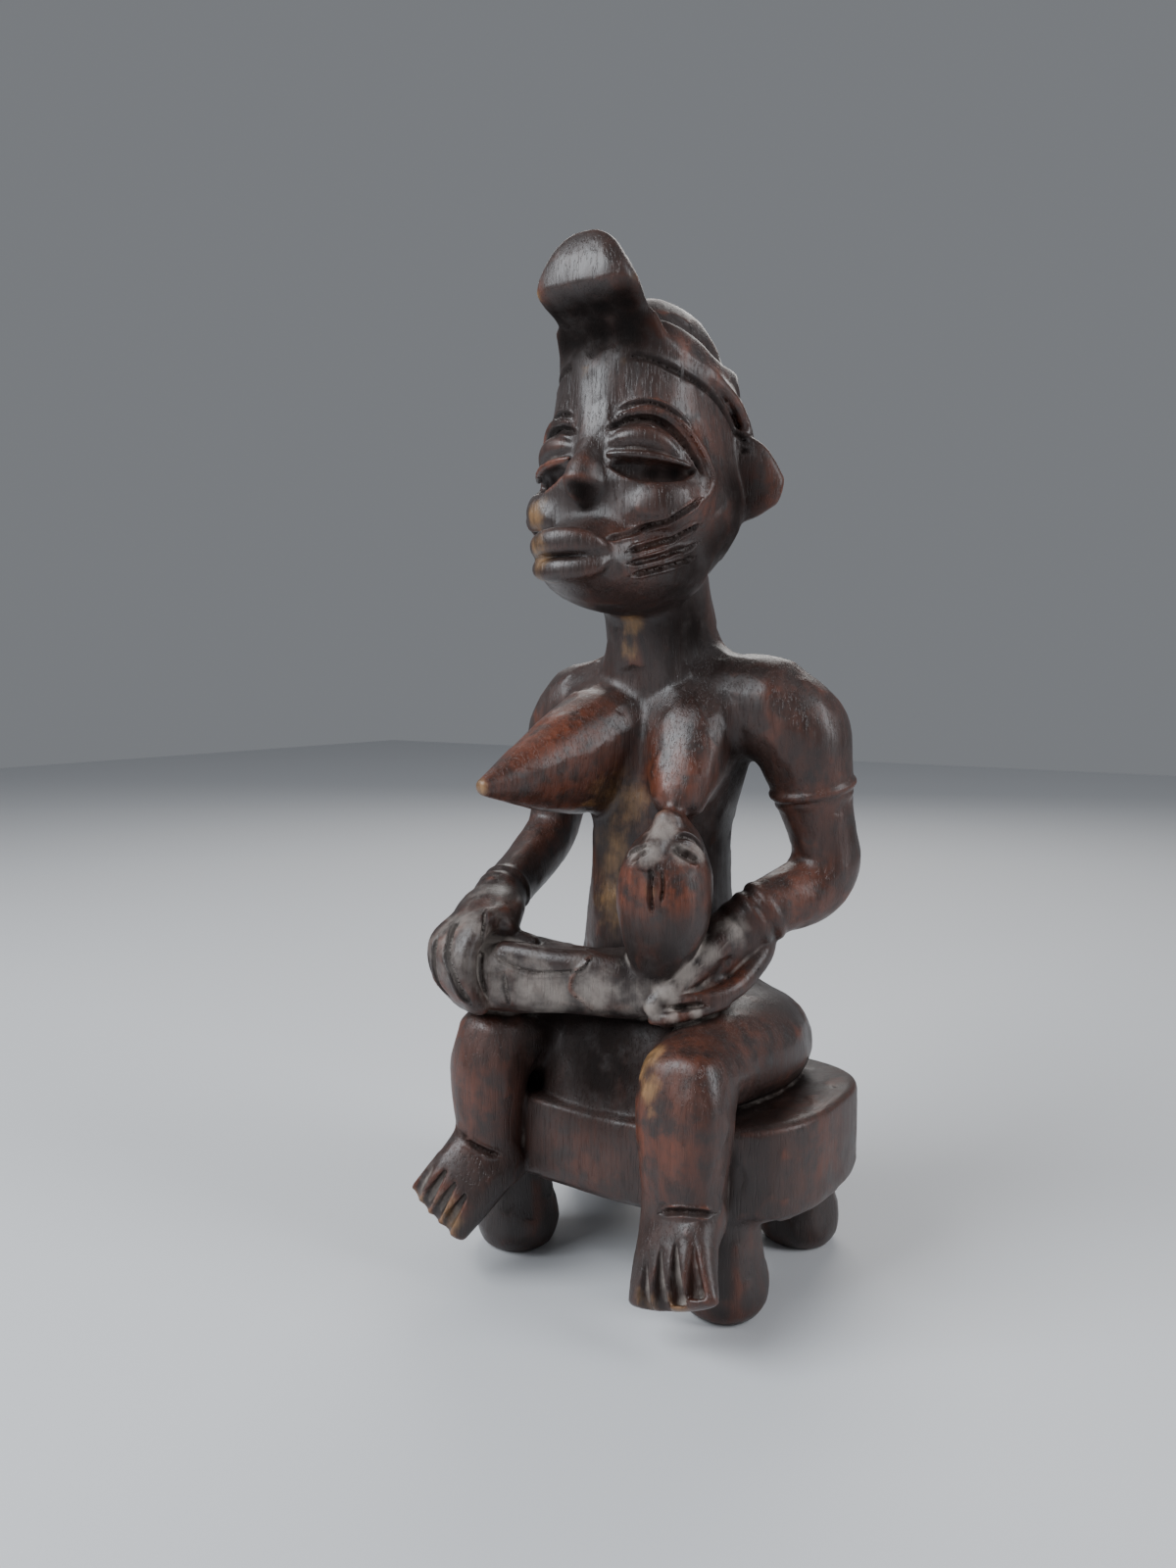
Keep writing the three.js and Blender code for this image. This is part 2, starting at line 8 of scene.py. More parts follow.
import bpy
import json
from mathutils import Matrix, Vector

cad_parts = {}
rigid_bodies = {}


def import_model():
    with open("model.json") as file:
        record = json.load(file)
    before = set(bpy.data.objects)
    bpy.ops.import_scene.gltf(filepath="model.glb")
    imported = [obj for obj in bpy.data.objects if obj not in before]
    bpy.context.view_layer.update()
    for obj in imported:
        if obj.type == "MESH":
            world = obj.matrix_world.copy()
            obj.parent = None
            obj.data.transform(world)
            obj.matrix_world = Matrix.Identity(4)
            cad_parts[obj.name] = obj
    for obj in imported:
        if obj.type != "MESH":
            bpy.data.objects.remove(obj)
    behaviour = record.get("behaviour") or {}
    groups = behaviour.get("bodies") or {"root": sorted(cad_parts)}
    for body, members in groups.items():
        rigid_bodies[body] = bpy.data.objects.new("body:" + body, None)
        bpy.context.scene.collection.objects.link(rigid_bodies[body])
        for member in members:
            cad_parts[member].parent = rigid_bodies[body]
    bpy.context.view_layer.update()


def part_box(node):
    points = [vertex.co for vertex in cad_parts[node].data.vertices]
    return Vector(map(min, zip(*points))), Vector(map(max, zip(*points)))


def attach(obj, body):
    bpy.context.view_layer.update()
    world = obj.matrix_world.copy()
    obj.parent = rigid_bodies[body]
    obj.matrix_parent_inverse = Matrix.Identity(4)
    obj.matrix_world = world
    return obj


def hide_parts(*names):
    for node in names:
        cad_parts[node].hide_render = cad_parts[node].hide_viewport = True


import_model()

import json
import math

import bpy
import numpy as np
import openvdb
from mathutils import Vector
from mathutils.bvhtree import BVHTree

bl_info = {
    "name": "Maternity carving",
    "version": (1, 0, 0),
    "blender": (4, 5, 0),
    "location": "View3D > Sidebar > Carving",
    "description": "Carves a seated mother and child on a stool and gives it worn, waxed wood",
    "category": "Add Mesh",
}

MM = 0.001
AHEAD = 11.4  # mm from the middle of the seat forward to the middle of the whole carving
CAD_NODE = "maternity_figure"
FORMS = "rough forms"
LINES = "knife lines"
BAND = 6.0  # mm of distance kept on each side of a surface
SITTING_HEIGHT = 0.255  # m over the seat at which the tables hold as they are written
LINE_STEP = 0.35  # mm between the points of a knife line
LINE_REACH = 2.5  # mm around a point in which its knife line is looked for
FINE_STRIP = 1.9  # mm on each side of a knife line in which the triangles are halved
FINE_EDGE = 0.9  # longest edge left there, in cells
FINE_ROUNDS = 3
SURFACE_REACH = 2.0  # mm in which a place of a knife line finds the surface
FINE_REACH = 1.2  # mm, how far around a point its small edges and hollows are felt
BROAD_REACH = 4.2  # mm, the same for the deep hollows
# near-black colour of the painted shade in deep hollows, knife lines and shaded spots
PAINTED_SHADE_COLOUR = (0.006, 0.004, 0.0035, 1)
COAT_ROUGHNESS = 0.3


# Sizes and colours that a user may change


class StoolSizes(bpy.types.PropertyGroup):
    """Sizes of the stool"""

    seat_width: bpy.props.FloatProperty(
        name="Seat width",
        description="Width of the seat, from her right to her left",
        default=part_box(CAD_NODE)[1][0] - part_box(CAD_NODE)[0][0],
        unit="LENGTH",
    )
    seat_depth: bpy.props.FloatProperty(
        name="Seat depth",
        description="Depth of the seat, from front to back",
        default=0.086,
        unit="LENGTH",
    )
    seat_thickness: bpy.props.FloatProperty(
        name="Seat thickness",
        description="Height of the seat's wall",
        default=0.028,
        unit="LENGTH",
    )
    leg_height: bpy.props.FloatProperty(
        name="Leg height",
        description="From the ground to the seat's underside",
        default=0.029,
        unit="LENGTH",
    )


class CarvingSizes(bpy.types.PropertyGroup):
    """Sizes of the figure and of the knife's marks"""

    sitting_height: bpy.props.FloatProperty(
        name="Sitting height",
        description="From the seat to the top of the crest; the figure keeps its shares of it",
        default=SITTING_HEIGHT,
        unit="LENGTH",
    )
    detail: bpy.props.FloatProperty(
        name="Detail size",
        description="Size of the cells in which the forms are fused",
        default=0.0006,
        min=0.0003,
        unit="LENGTH",
    )
    facet_size: bpy.props.FloatProperty(
        name="Facet size",
        description="Distance between the knife's flat cuts",
        default=0.0085,
        unit="LENGTH",
    )
    facet_depth: bpy.props.FloatProperty(
        name="Facet depth",
        description="Most that a flat cut takes off",
        default=0.00045,
        unit="LENGTH",
    )
    triangles: bpy.props.IntProperty(
        name="Triangles",
        description="Triangles of the carving before the knife lines",
        default=98000,
    )


class WoodColours(bpy.types.PropertyGroup):
    """Colours of the waxed and worn wood"""

    dark: bpy.props.FloatVectorProperty(
        name="Stain",
        description="Dark stained wood",
        subtype="COLOR",
        size=4,
        default=(0.019, 0.0105, 0.0085, 1),
    )
    warm: bpy.props.FloatVectorProperty(
        name="Rubbed",
        description="Red-brown where hands rubbed it",
        subtype="COLOR",
        size=4,
        default=(0.15, 0.038, 0.016, 1),
    )
    raw: bpy.props.FloatVectorProperty(
        name="Raw wood",
        description="Ochre where the stain is worn through",
        subtype="COLOR",
        size=4,
        default=(0.30, 0.165, 0.068, 1),
    )
    dust: bpy.props.FloatVectorProperty(
        name="Dust",
        description="Pale dust in the hollows",
        subtype="COLOR",
        size=4,
        default=(0.31, 0.27, 0.24, 1),
    )


class StageLook(bpy.types.PropertyGroup):
    """Floor and light"""

    floor: bpy.props.FloatVectorProperty(
        name="Floor",
        description="Colour of the floor and backdrop",
        subtype="COLOR",
        size=4,
        default=(0.66, 0.665, 0.68, 1),
    )
    key_light: bpy.props.FloatProperty(
        name="Key light",
        description="Power of the large soft light",
        default=17.0,
        subtype="POWER",
    )


# Rough forms


def rows_between(rows, places):
    """Rows of a table at fractional row numbers, on a smooth curve through all rows."""
    table = np.asarray(rows, float)
    last = len(table) - 1
    places = np.asarray(places, float)
    whole = np.clip(places.astype(int), 0, last - 1)
    s = (places - whole)[:, None]
    ends = np.vstack([2 * table[0] - table[1], table, 2 * table[-1] - table[-2]])
    p0, p1, p2, p3 = (ends[whole + k] for k in range(4))
    cubic = 3 * p1 - p0 - 3 * p2 + p3
    square = 2 * p0 - 5 * p1 + 4 * p2 - p3
    return 0.5 * (2 * p1 + (p2 - p0) * s + square * s**2 + cubic * s**3)


def signed_power(value, power):
    """The power of a value's size, with the value's sign."""
    return np.sign(value) * np.abs(value) ** power


def loft(rows, across=(1, 0, 0), sides=40, steps=6, caps=(0, 0), square=2.0):
    """Points and triangles of a form along a curved middle line.

    A row is x, y, z of the line and the section's radius across, in front and behind. across is the
    direction that the first radius keeps to, and caps are the lengths of the rounded ends. square is
    2 for a round section and more for one with fuller corners.
    """
    table = np.asarray(rows, float)
    last = len(table) - 1
    turns = np.radians([75, 60, 45, 30, 15])
    start = [(0, -caps[0] * math.sin(a), math.cos(a)) for a in turns] if caps[0] > 0 else []
    middle = [(t, 0, 1) for t in np.linspace(0, last, last * steps + 1)]
    end = [(last, caps[1] * math.sin(a), math.cos(a)) for a in turns[::-1]] if caps[1] > 0 else []
    stations = np.array([(0, -caps[0], 0)] + start + middle + end + [(last, caps[1], 0)], float)
    at = stations[:, 0]
    row = rows_between(table, at)
    tangent = (
        rows_between(table, np.minimum(at + 0.05, last))
        - rows_between(table, np.maximum(at - 0.05, 0))
    )
    tangent = tangent[:, :3] / np.linalg.norm(tangent[:, :3], axis=1)[:, None]
    width = np.asarray(across, float)
    u = width - tangent * (tangent @ width)[:, None]
    u /= np.linalg.norm(u, axis=1)[:, None]
    v = np.cross(tangent, u)
    centre = row[:, :3] + tangent * stations[:, 1][:, None]
    angle = np.linspace(0, 2 * math.pi, sides, endpoint=False)
    side = signed_power(np.cos(angle), 2 / square)[None, :] * (row[:, 3] * stations[:, 2])[:, None]
    front, back = row[:, 4][:, None], row[:, 5][:, None]
    reach = np.where(np.sin(angle)[None, :] < 0, front, back) * stations[:, 2][:, None]
    depth = signed_power(np.sin(angle), 2 / square)[None, :] * reach
    points = centre[:, None, :] + u[:, None, :] * side[:, :, None] + v[:, None, :] * depth[:, :, None]
    rings = len(points)
    points = points.reshape(-1, 3)
    ring, k = np.meshgrid(np.arange(rings - 1), np.arange(sides), indexing="ij")
    a = ring * sides + k
    b = ring * sides + (k + 1) % sides
    triangles = np.concatenate(
        [
            np.stack([a, b, b + sides], -1).reshape(-1, 3),
            np.stack([a, b + sides, a + sides], -1).reshape(-1, 3),
        ]
    )
    return points, triangles


def on_seat(rows):
    """A table given over the seat, at its place over the ground in mm."""
    stool = bpy.context.scene.carving_stool
    unit = bpy.context.scene.carving_sizes.sitting_height / SITTING_HEIGHT
    top = (stool.leg_height + stool.seat_thickness) / MM
    return [[r[0] * unit, r[1] * unit, top + r[2] * unit] + [v * unit for v in r[3:]] for r in rows]


def on_front(rows):
    """The same for the lower legs and feet, whose y counts from the front of the seat."""
    front = -bpy.context.scene.carving_stool.seat_depth / MM / 2
    placed = on_seat(rows)
    return [[p[0], p[1] + front] + p[2:] for p in placed]


def even(rows):
    """Rows of x, y, z, radius as rows with that radius on all sides."""
    return [[*row[:3], row[3], row[3], row[3]] for row in rows]


def mirrored(rows):
    """The same rows on her other side."""
    return [[-row[0], *row[1:]] for row in rows]


def add_form(name, rows, group, blend, cut=False, **shape):
    """Adds one rough form as a mesh object. blend is the radius in mm with which it runs into the
    others of its group, and cut takes it away from them."""
    points, triangles = loft(rows, **shape)
    return add_mesh(name, points, triangles, group, blend, cut)


def add_mesh(name, points, triangles, group, blend, cut=False):
    """Adds one rough form from its points over the ground and its triangles."""
    place = (np.asarray(points) + [0, AHEAD, 0]) * MM
    mesh = bpy.data.meshes.new(name)
    mesh.from_pydata(place.tolist(), [], np.asarray(triangles).tolist())
    form = bpy.data.objects.new(name, mesh)
    forms = bpy.data.collections.get(FORMS)
    if forms is None:
        forms = bpy.data.collections.new(FORMS)
        bpy.context.scene.collection.children.link(forms)
    forms.objects.link(form)
    form["group"] = group
    form["blend"] = blend
    form["cut"] = cut
    return form


def add_line(name, places, width, depth, burr=0.25, taper=3.0):
    """Adds the middle line of a knife cut through places of x, y, z over the seat. width is half the
    cut's width and depth its depth in mm, which fade over the taper at both ends. A negative depth
    leaves a raised line, and burr is the share of the depth by which the cut's edges stand up."""
    places = np.asarray(places, float)
    lengths = np.linalg.norm(np.diff(places, axis=0), axis=1)
    steps = []
    for number, length in enumerate(lengths):
        pieces = max(2, int(length / LINE_STEP))
        steps += list(np.linspace(number, number + 1, pieces, endpoint=False))
    points = rows_between(places, [*steps, len(places) - 1])
    mesh = bpy.data.meshes.new(name)
    place = (points + [0, AHEAD, 0]) * MM
    mesh.from_pydata(place.tolist(), [(i, i + 1) for i in range(len(points) - 1)], [])
    line = bpy.data.objects.new(name, mesh)
    lines = bpy.data.collections.get(LINES)
    if lines is None:
        lines = bpy.data.collections.new(LINES)
        bpy.context.scene.collection.children.link(lines)
    lines.objects.link(line)
    line["width"], line["depth"], line["burr"], line["taper"] = width, depth, burr, taper
    return line


# Head: its surface is addressed by the angle from straight ahead and the height over the seat

SKULL = [
    [0, -18, 153.6, 9, 13, 10],
    [0, -18, 158, 16.5, 21.5, 15],
    [0, -16, 164.5, 23, 26, 17],
    [0, -14, 173, 29, 30, 20.5],
    [0, -12, 183, 30.5, 32, 25],
    [0, -11, 193, 28, 30.4, 27],
    [0, -10, 203, 26.5, 28.8, 28],
    [0, -9, 213, 25, 28.6, 27],
    [0, -8, 220.5, 22.5, 28.6, 25],
    [0, -7, 225, 16, 22, 18],
]
SKULL_SQUARE = 2.5
FACE_AXIS = -10.0  # y of the upright line from which the face's angles are measured
OUTSIDE = 90  # mm from that line, well clear of the face


def face_tree(names):
    """A search tree over some of the rough forms, for places on the face."""
    corners, faces = [], []
    for name in names:
        mesh = bpy.data.objects[name].data
        base = len(corners)
        corners += [vertex.co / MM for vertex in mesh.vertices]
        faces += [[base + i for i in polygon.vertices] for polygon in mesh.polygons]
    return BVHTree.FromPolygons(corners, faces)


def outward(angle):
    """The level direction out of the face at an angle towards her left."""
    return Vector((math.sin(math.radians(angle)), -math.cos(math.radians(angle)), 0))


def on_face(tree, angle, height):
    """The outermost place on the head at an angle towards her left and a height over the seat."""
    x, y, z = on_seat([[0, FACE_AXIS, height]])[0]
    centre = Vector((x, y + AHEAD, z))
    start = centre + outward(angle) * OUTSIDE
    hit = tree.ray_cast(start, -outward(angle), OUTSIDE)[0]
    if hit is None:
        raise RuntimeError(f"no face at {angle} degrees, {height} mm")
    return hit - Vector((0, AHEAD, 0))


def face_rows(tree, places, lift, side):
    """Rows that follow one side of the face through places of angle, height and radius, with their
    middle lifted off its surface by lift in mm."""
    rows = []
    for angle, height, radius in places:
        point = on_face(tree, side * angle, height) + outward(side * angle) * lift
        rows.append([*point, radius, radius, radius])
    return rows


# Operators: one for each group of forms


class CARVING_OT_stool(bpy.types.Operator):
    """Add the dished seat and its four short legs"""

    bl_idname = "carving.stool"
    bl_label = "Stool"

    def execute(self, context):
        sizes = context.scene.carving_stool
        width, depth = sizes.seat_width / MM / 2, sizes.seat_depth / MM / 2
        bottom, thickness = sizes.leg_height / MM, sizes.seat_thickness / MM
        top = bottom + thickness
        edge = 2.8
        rise = 4.0  # mm by which the seat's ends stand higher than its middle
        leg_inset = (25, 16)  # mm from the seat's ends and sides to the legs' middle

        def level(z, inset):
            return [0, 0, z, width - inset, depth - inset, depth - inset]

        rows = [
            level(bottom, edge + 2.5),
            level(bottom + 2.2, 2.4),
            level(bottom + edge + 1.5, 0.4),
            level(bottom + thickness * 0.45, 0),
            level(top - edge, 0.2),
            level(top - edge * 0.3, edge * 0.35),
            level(top, edge),
        ]
        points, triangles = loft(rows, sides=96, square=2.9)
        share = (points[:, 2] - bottom) / thickness
        points[:, 2] += rise * share * (np.abs(points[:, 0]) / width) ** 2
        add_mesh("seat", points, triangles, "stool", 0)
        dish = [
            [-58, 4, top + 14.6, 30, 10, 12],
            [0, 6, top + 10.5, 34, 11, 12],
            [58, 4, top + 14.6, 30, 10, 12],
        ]
        add_form("seat dish", dish, "stool", 1.0, cut=True, across=(0, 1, 0))
        knob = [
            (0, 9.4),
            (0.05, 11.2),
            (0.16, 12.7),
            (0.32, 13.1),
            (0.65, 11.4),
            (1.1, 10.2),
            (1.3, 10.4),
        ]
        for name, x, y in (
            ("front left", 1, -1),
            ("front right", -1, -1),
            ("rear left", 1, 1),
            ("rear right", -1, 1),
        ):
            cx, cy = x * (width - leg_inset[0]), y * (depth - leg_inset[1])
            rows = [[cx, cy, bottom * share, r, r, r] for share, r in knob]
            add_form(f"stool leg {name}", rows, "stool", 2.5, sides=32, square=2.15)
        return {"FINISHED"}


class CARVING_OT_body(bpy.types.Operator):
    """Add torso, neck, shoulders, breasts, lap, thighs, lower legs and feet"""

    bl_idname = "carving.body"
    bl_label = "Body and legs"

    def execute(self, context):
        torso = [
            [0, 9, -3, 36, 25, 24],
            [0, 8, 12, 37, 26, 25],
            [0, 4, 32, 29, 26, 22],
            [0, 1, 52, 23.5, 24, 21],
            [0, 1, 68, 22, 22, 20],
            [0, 1, 84, 22.5, 21, 20],
            [0, 2, 100, 27, 20, 19],
            [0, 3, 114, 31, 18, 18],
            [0, 4, 124, 29, 15.5, 16],
            [0, 3, 133, 22, 13.5, 14],
            [0, 1, 142, 14, 12.5, 13],
            [0, -1, 150, 11, 12, 12],
        ]
        add_form("torso", on_seat(torso), "body", 0, square=2.3, sides=56)
        neck = [
            [0, 3, 122, 24, 15, 15],
            [0, 2, 130, 21.5, 15.5, 15.5],
            [0, 0.5, 138, 17.5, 16, 16.5],
            [0, -2, 148, 16, 15.2, 17.5],
            [0, -6, 160, 16, 14.6, 17.5],
            [0, -9, 172, 15.5, 14, 17],
        ]
        add_form("neck", on_seat(neck), "body", 7, square=2.5)
        yoke = [
            [-36, 5, 120, 11, 11, 11],
            [-20, 4, 125.5, 11.5, 11, 11],
            [0, 3, 128, 12, 11, 11],
            [20, 4, 126.5, 12, 12, 11],
            [37, 5, 122, 12, 12, 12],
        ]
        add_form("shoulder yoke", on_seat(yoke), "body", 6, across=(0, 1, 0))
        self.breasts()
        thigh = [
            [27, 16, 13, 19, 18, 17],
            [30, 0, 16, 20, 18, 17],
            [31.5, -16, 17, 18, 16, 16],
            [33, -30, 17.5, 15, 14, 13],
            [33.5, -38, 17, 13.8, 12, 11.5],
        ]
        loin = [
            [0, -12, -8, 30, 29, 20],
            [0, -12, 4, 30, 27, 20],
            [0, -11, 14, 29, 24, 18],
            [0, -9, 24, 27, 19, 16],
            [0, -6, 34, 24, 14, 14],
        ]
        add_form("loin", on_seat(loin), "body", 5, square=3)
        for side, rows in ((1, thigh), (-1, mirrored(thigh))):
            add_form(f"thigh {side}", on_seat(rows), "body", 5, caps=(10, 7))
        shins = {
            1: [
                [34.2, 0, 19, 12.6, 10, 10],
                [35, -2.5, 8, 14.0, 11.5, 10],
                [35, -2.5, -6, 12.6, 11, 10],
                [34.5, -1.5, -18, 11.8, 10, 9],
                [34.5, -1, -26, 12, 9, 9],
            ],
            -1: [
                [-35, 0, 19, 11.5, 10, 10],
                [-35.5, -2.5, 8, 12.6, 11.5, 10],
                [-35.5, -2.5, -6, 11.0, 11, 10],
                [-35, -1.5, -18, 10.2, 10, 9],
                [-35, -1, -26, 11.0, 9, 9],
            ],
        }
        feet = {
            1: [
                [35.5, -1, -18, 12, 9, 8],
                [36, -7, -25, 12.3, 8, 7],
                [38, -13, -33, 13.5, 6, 5.6],
                [40, -17, -39.5, 14.6, 4, 4],
            ],
            -1: [
                [-34, -1, -16, 11.6, 9, 8],
                [-35.5, -8, -21.5, 12, 8, 7],
                [-39, -15, -29, 12, 6, 5.6],
                [-43, -19, -35.5, 11.8, 4, 4],
            ],
        }
        turn = {1: (0.83, 0.15, 0.53), -1: (0.76, 0.1, -0.62)}
        for side in (1, -1):
            shin = on_front(shins[side])
            add_form(f"shin {side}", shin, "body", 4, square=2.45 + 0.25 * side, caps=(8, 0))
            rows = on_front(feet[side])
            add_form(f"foot {side}", rows, "body", 3, across=turn[side], square=2.5, caps=(0, 2.5))
            self.toes(side, rows, turn[side])
        ankles = {
            "left ankle": [[32, -54.5, -18.5], [38, -54, -16.5], [43, -52.5, -16], [47, -49, -16.5]],
            "right ankle": [[-42, -50, -11], [-36, -53.5, -13.5], [-30, -54, -15.5], [-26, -51, -17]],
        }
        for name, places in ankles.items():
            add_line(name, on_seat(places), 1.1, 0.9, burr=0.4)
        return {"FINISHED"}

    def breasts(self):
        """The long right breast that juts forward and the shorter left one at the child's mouth."""
        right = [
            [-13, 4, 112, 15, 19, 14],
            [-14.5, -8, 111.5, 17, 21.5, 17],
            [-17, -24, 107.5, 14.2, 20.5, 14.5],
            [-19.3, -40, 103.6, 10, 14.5, 10],
            [-21.5, -54, 100.4, 5.8, 7.2, 5.4],
            [-23, -63.3, 98.6, 2.5, 2.5, 2.3],
        ]
        add_form("right breast", on_seat(right), "body", 4, caps=(8, 0.8), square=2.25)
        left = [
            [15.5, 0, 122, 13, 12, 12],
            [16, -7, 113, 13.5, 13.5, 13],
            [17, -13, 105, 11.8, 11.5, 10.5],
            [17.6, -18, 98, 10.0, 9.5, 8],
            [18, -20.5, 93.5, 8.0, 8, 7],
        ]
        add_form("left breast", on_seat(left), "body", 4, caps=(7, 4.5), square=2.3)
        nipple = [[19, -24, 92, 3.4], [19.6, -27, 88.5, 3.0]]
        add_form("left nipple", on_seat(even(nipple)), "body", 1.5, caps=(2, 2))

    def toes(self, side, rows, across):
        """Four knife cuts that open from the instep to the toes' ends."""
        sideways = 0.2 if side > 0 else -0.5
        for number, share in enumerate((-0.6, -0.2, 0.2, 0.6)):
            line = []
            for t, radius, forward in ((1.6, 0.15, 0), (2.3, 1.3, 0.8), (3.0, 2.9, 4)):
                row = rows_between(rows, [t])[0]
                drift = share * row[3]
                line.append(
                    [
                        row[0] + across[0] * drift + sideways * forward,
                        row[1] + across[1] * drift - 0.55 * (row[5] + forward),
                        row[2] + across[2] * drift + 0.85 * row[5] - 0.8 * forward,
                        radius,
                        radius * 1.7,
                        radius * 1.7,
                    ]
                )
            add_form(f"toe cut {side} {number}", line, "body", 0.5, cut=True, across=across, sides=24)


class CARVING_OT_arms(bpy.types.Operator):
    """Add both bent arms with their rings, and the palms"""

    bl_idname = "carving.arms"
    bl_label = "Arms"

    def execute(self, context):
        left = [
            [24, 4, 125, 10],
            [35, 5, 122, 13.8],
            [44, 7, 114, 15.2],
            [46.8, 9, 104, 13.6],
            [48.5, 11.5, 92, 11.2],
            [50.3, 13.5, 82, 10.1],
            [50.8, 14.5, 73, 10.6],
            [47.5, 10, 65.5, 10.4],
            [41, -1, 61, 9.2],
            [33, -10, 54.5, 7.6],
        ]
        right = [
            [-21, 4, 123, 10],
            [-33, 5, 120, 13],
            [-41, 6.5, 111.5, 13.5],
            [-45, 9, 99, 11.5],
            [-48.5, 11, 86, 9.5],
            [-49.5, 8.5, 76.5, 8.8],
            [-48.5, -2, 69, 8.6],
            [-46.5, -17, 62.5, 8],
            [-44.5, -30, 58, 7.6],
        ]
        for name, rows in (("left", left), ("right", right)):
            add_form(f"{name} arm", on_seat(even(rows)), "body", 7, across=(0, 1, 0), square=2.12)
        palms = {
            "right": [
                [-44.8, -28, 58.5, 7.6, 6.5, 6.5],
                [-41, -37, 56.5, 11.6, 7, 6.5],
                [-38.6, -45, 51, 12.4, 8, 7.5],
            ],
            "left": [
                [34, -8, 54.5, 8, 6.6, 6.6],
                [29.5, -14.5, 49.5, 9.4, 6.2, 6.6],
                [25, -21, 43.5, 9.4, 5.6, 5.8],
            ],
        }
        add_form("right palm", on_seat(palms["right"]), "body", 3, caps=(2, 4))
        add_form("left palm", on_seat(palms["left"]), "body", 3, across=(0, 0.4, 1), caps=(2, 3))
        rings = (
            ("left arm ring", left, 3.62, 0.13, 1.5, 1.0),
            ("left arm lower ring", left, 3.86, 0.07, 0.7, 0.8),
            ("left wrist ring", left, 8.28, 0.12, 1.1, 0.8),
            ("left wrist lower ring", left, 8.62, 0.12, 1.0, 0.8),
            ("right arm ring", right, 3.42, 0.12, 1.3, 1.0),
            ("right wrist ring", right, 7.42, 0.1, 1.0, 0.8),
            ("right wrist lower ring", right, 7.76, 0.1, 1.0, 0.8),
        )
        for name, limb, place, width, height, blend in rings:
            self.ring(name, on_seat(even(limb)), place, width, height, blend)
        return {"FINISHED"}

    def ring(self, name, limb, place, width, height, blend):
        """A raised band around a limb at a row number of its table."""
        rows = []
        for share, lift in ((-1, -1.5), (-0.8, 0.55), (-0.35, 1), (0.35, 1), (0.8, 0.55), (1, -1.5)):
            row = rows_between(limb, [place + share * width])[0]
            rows.append([*row[:3], *(row[3:] + lift * height)])
        add_form(name, rows, "body", blend * 0.5, across=(0, 1, 0), steps=3)


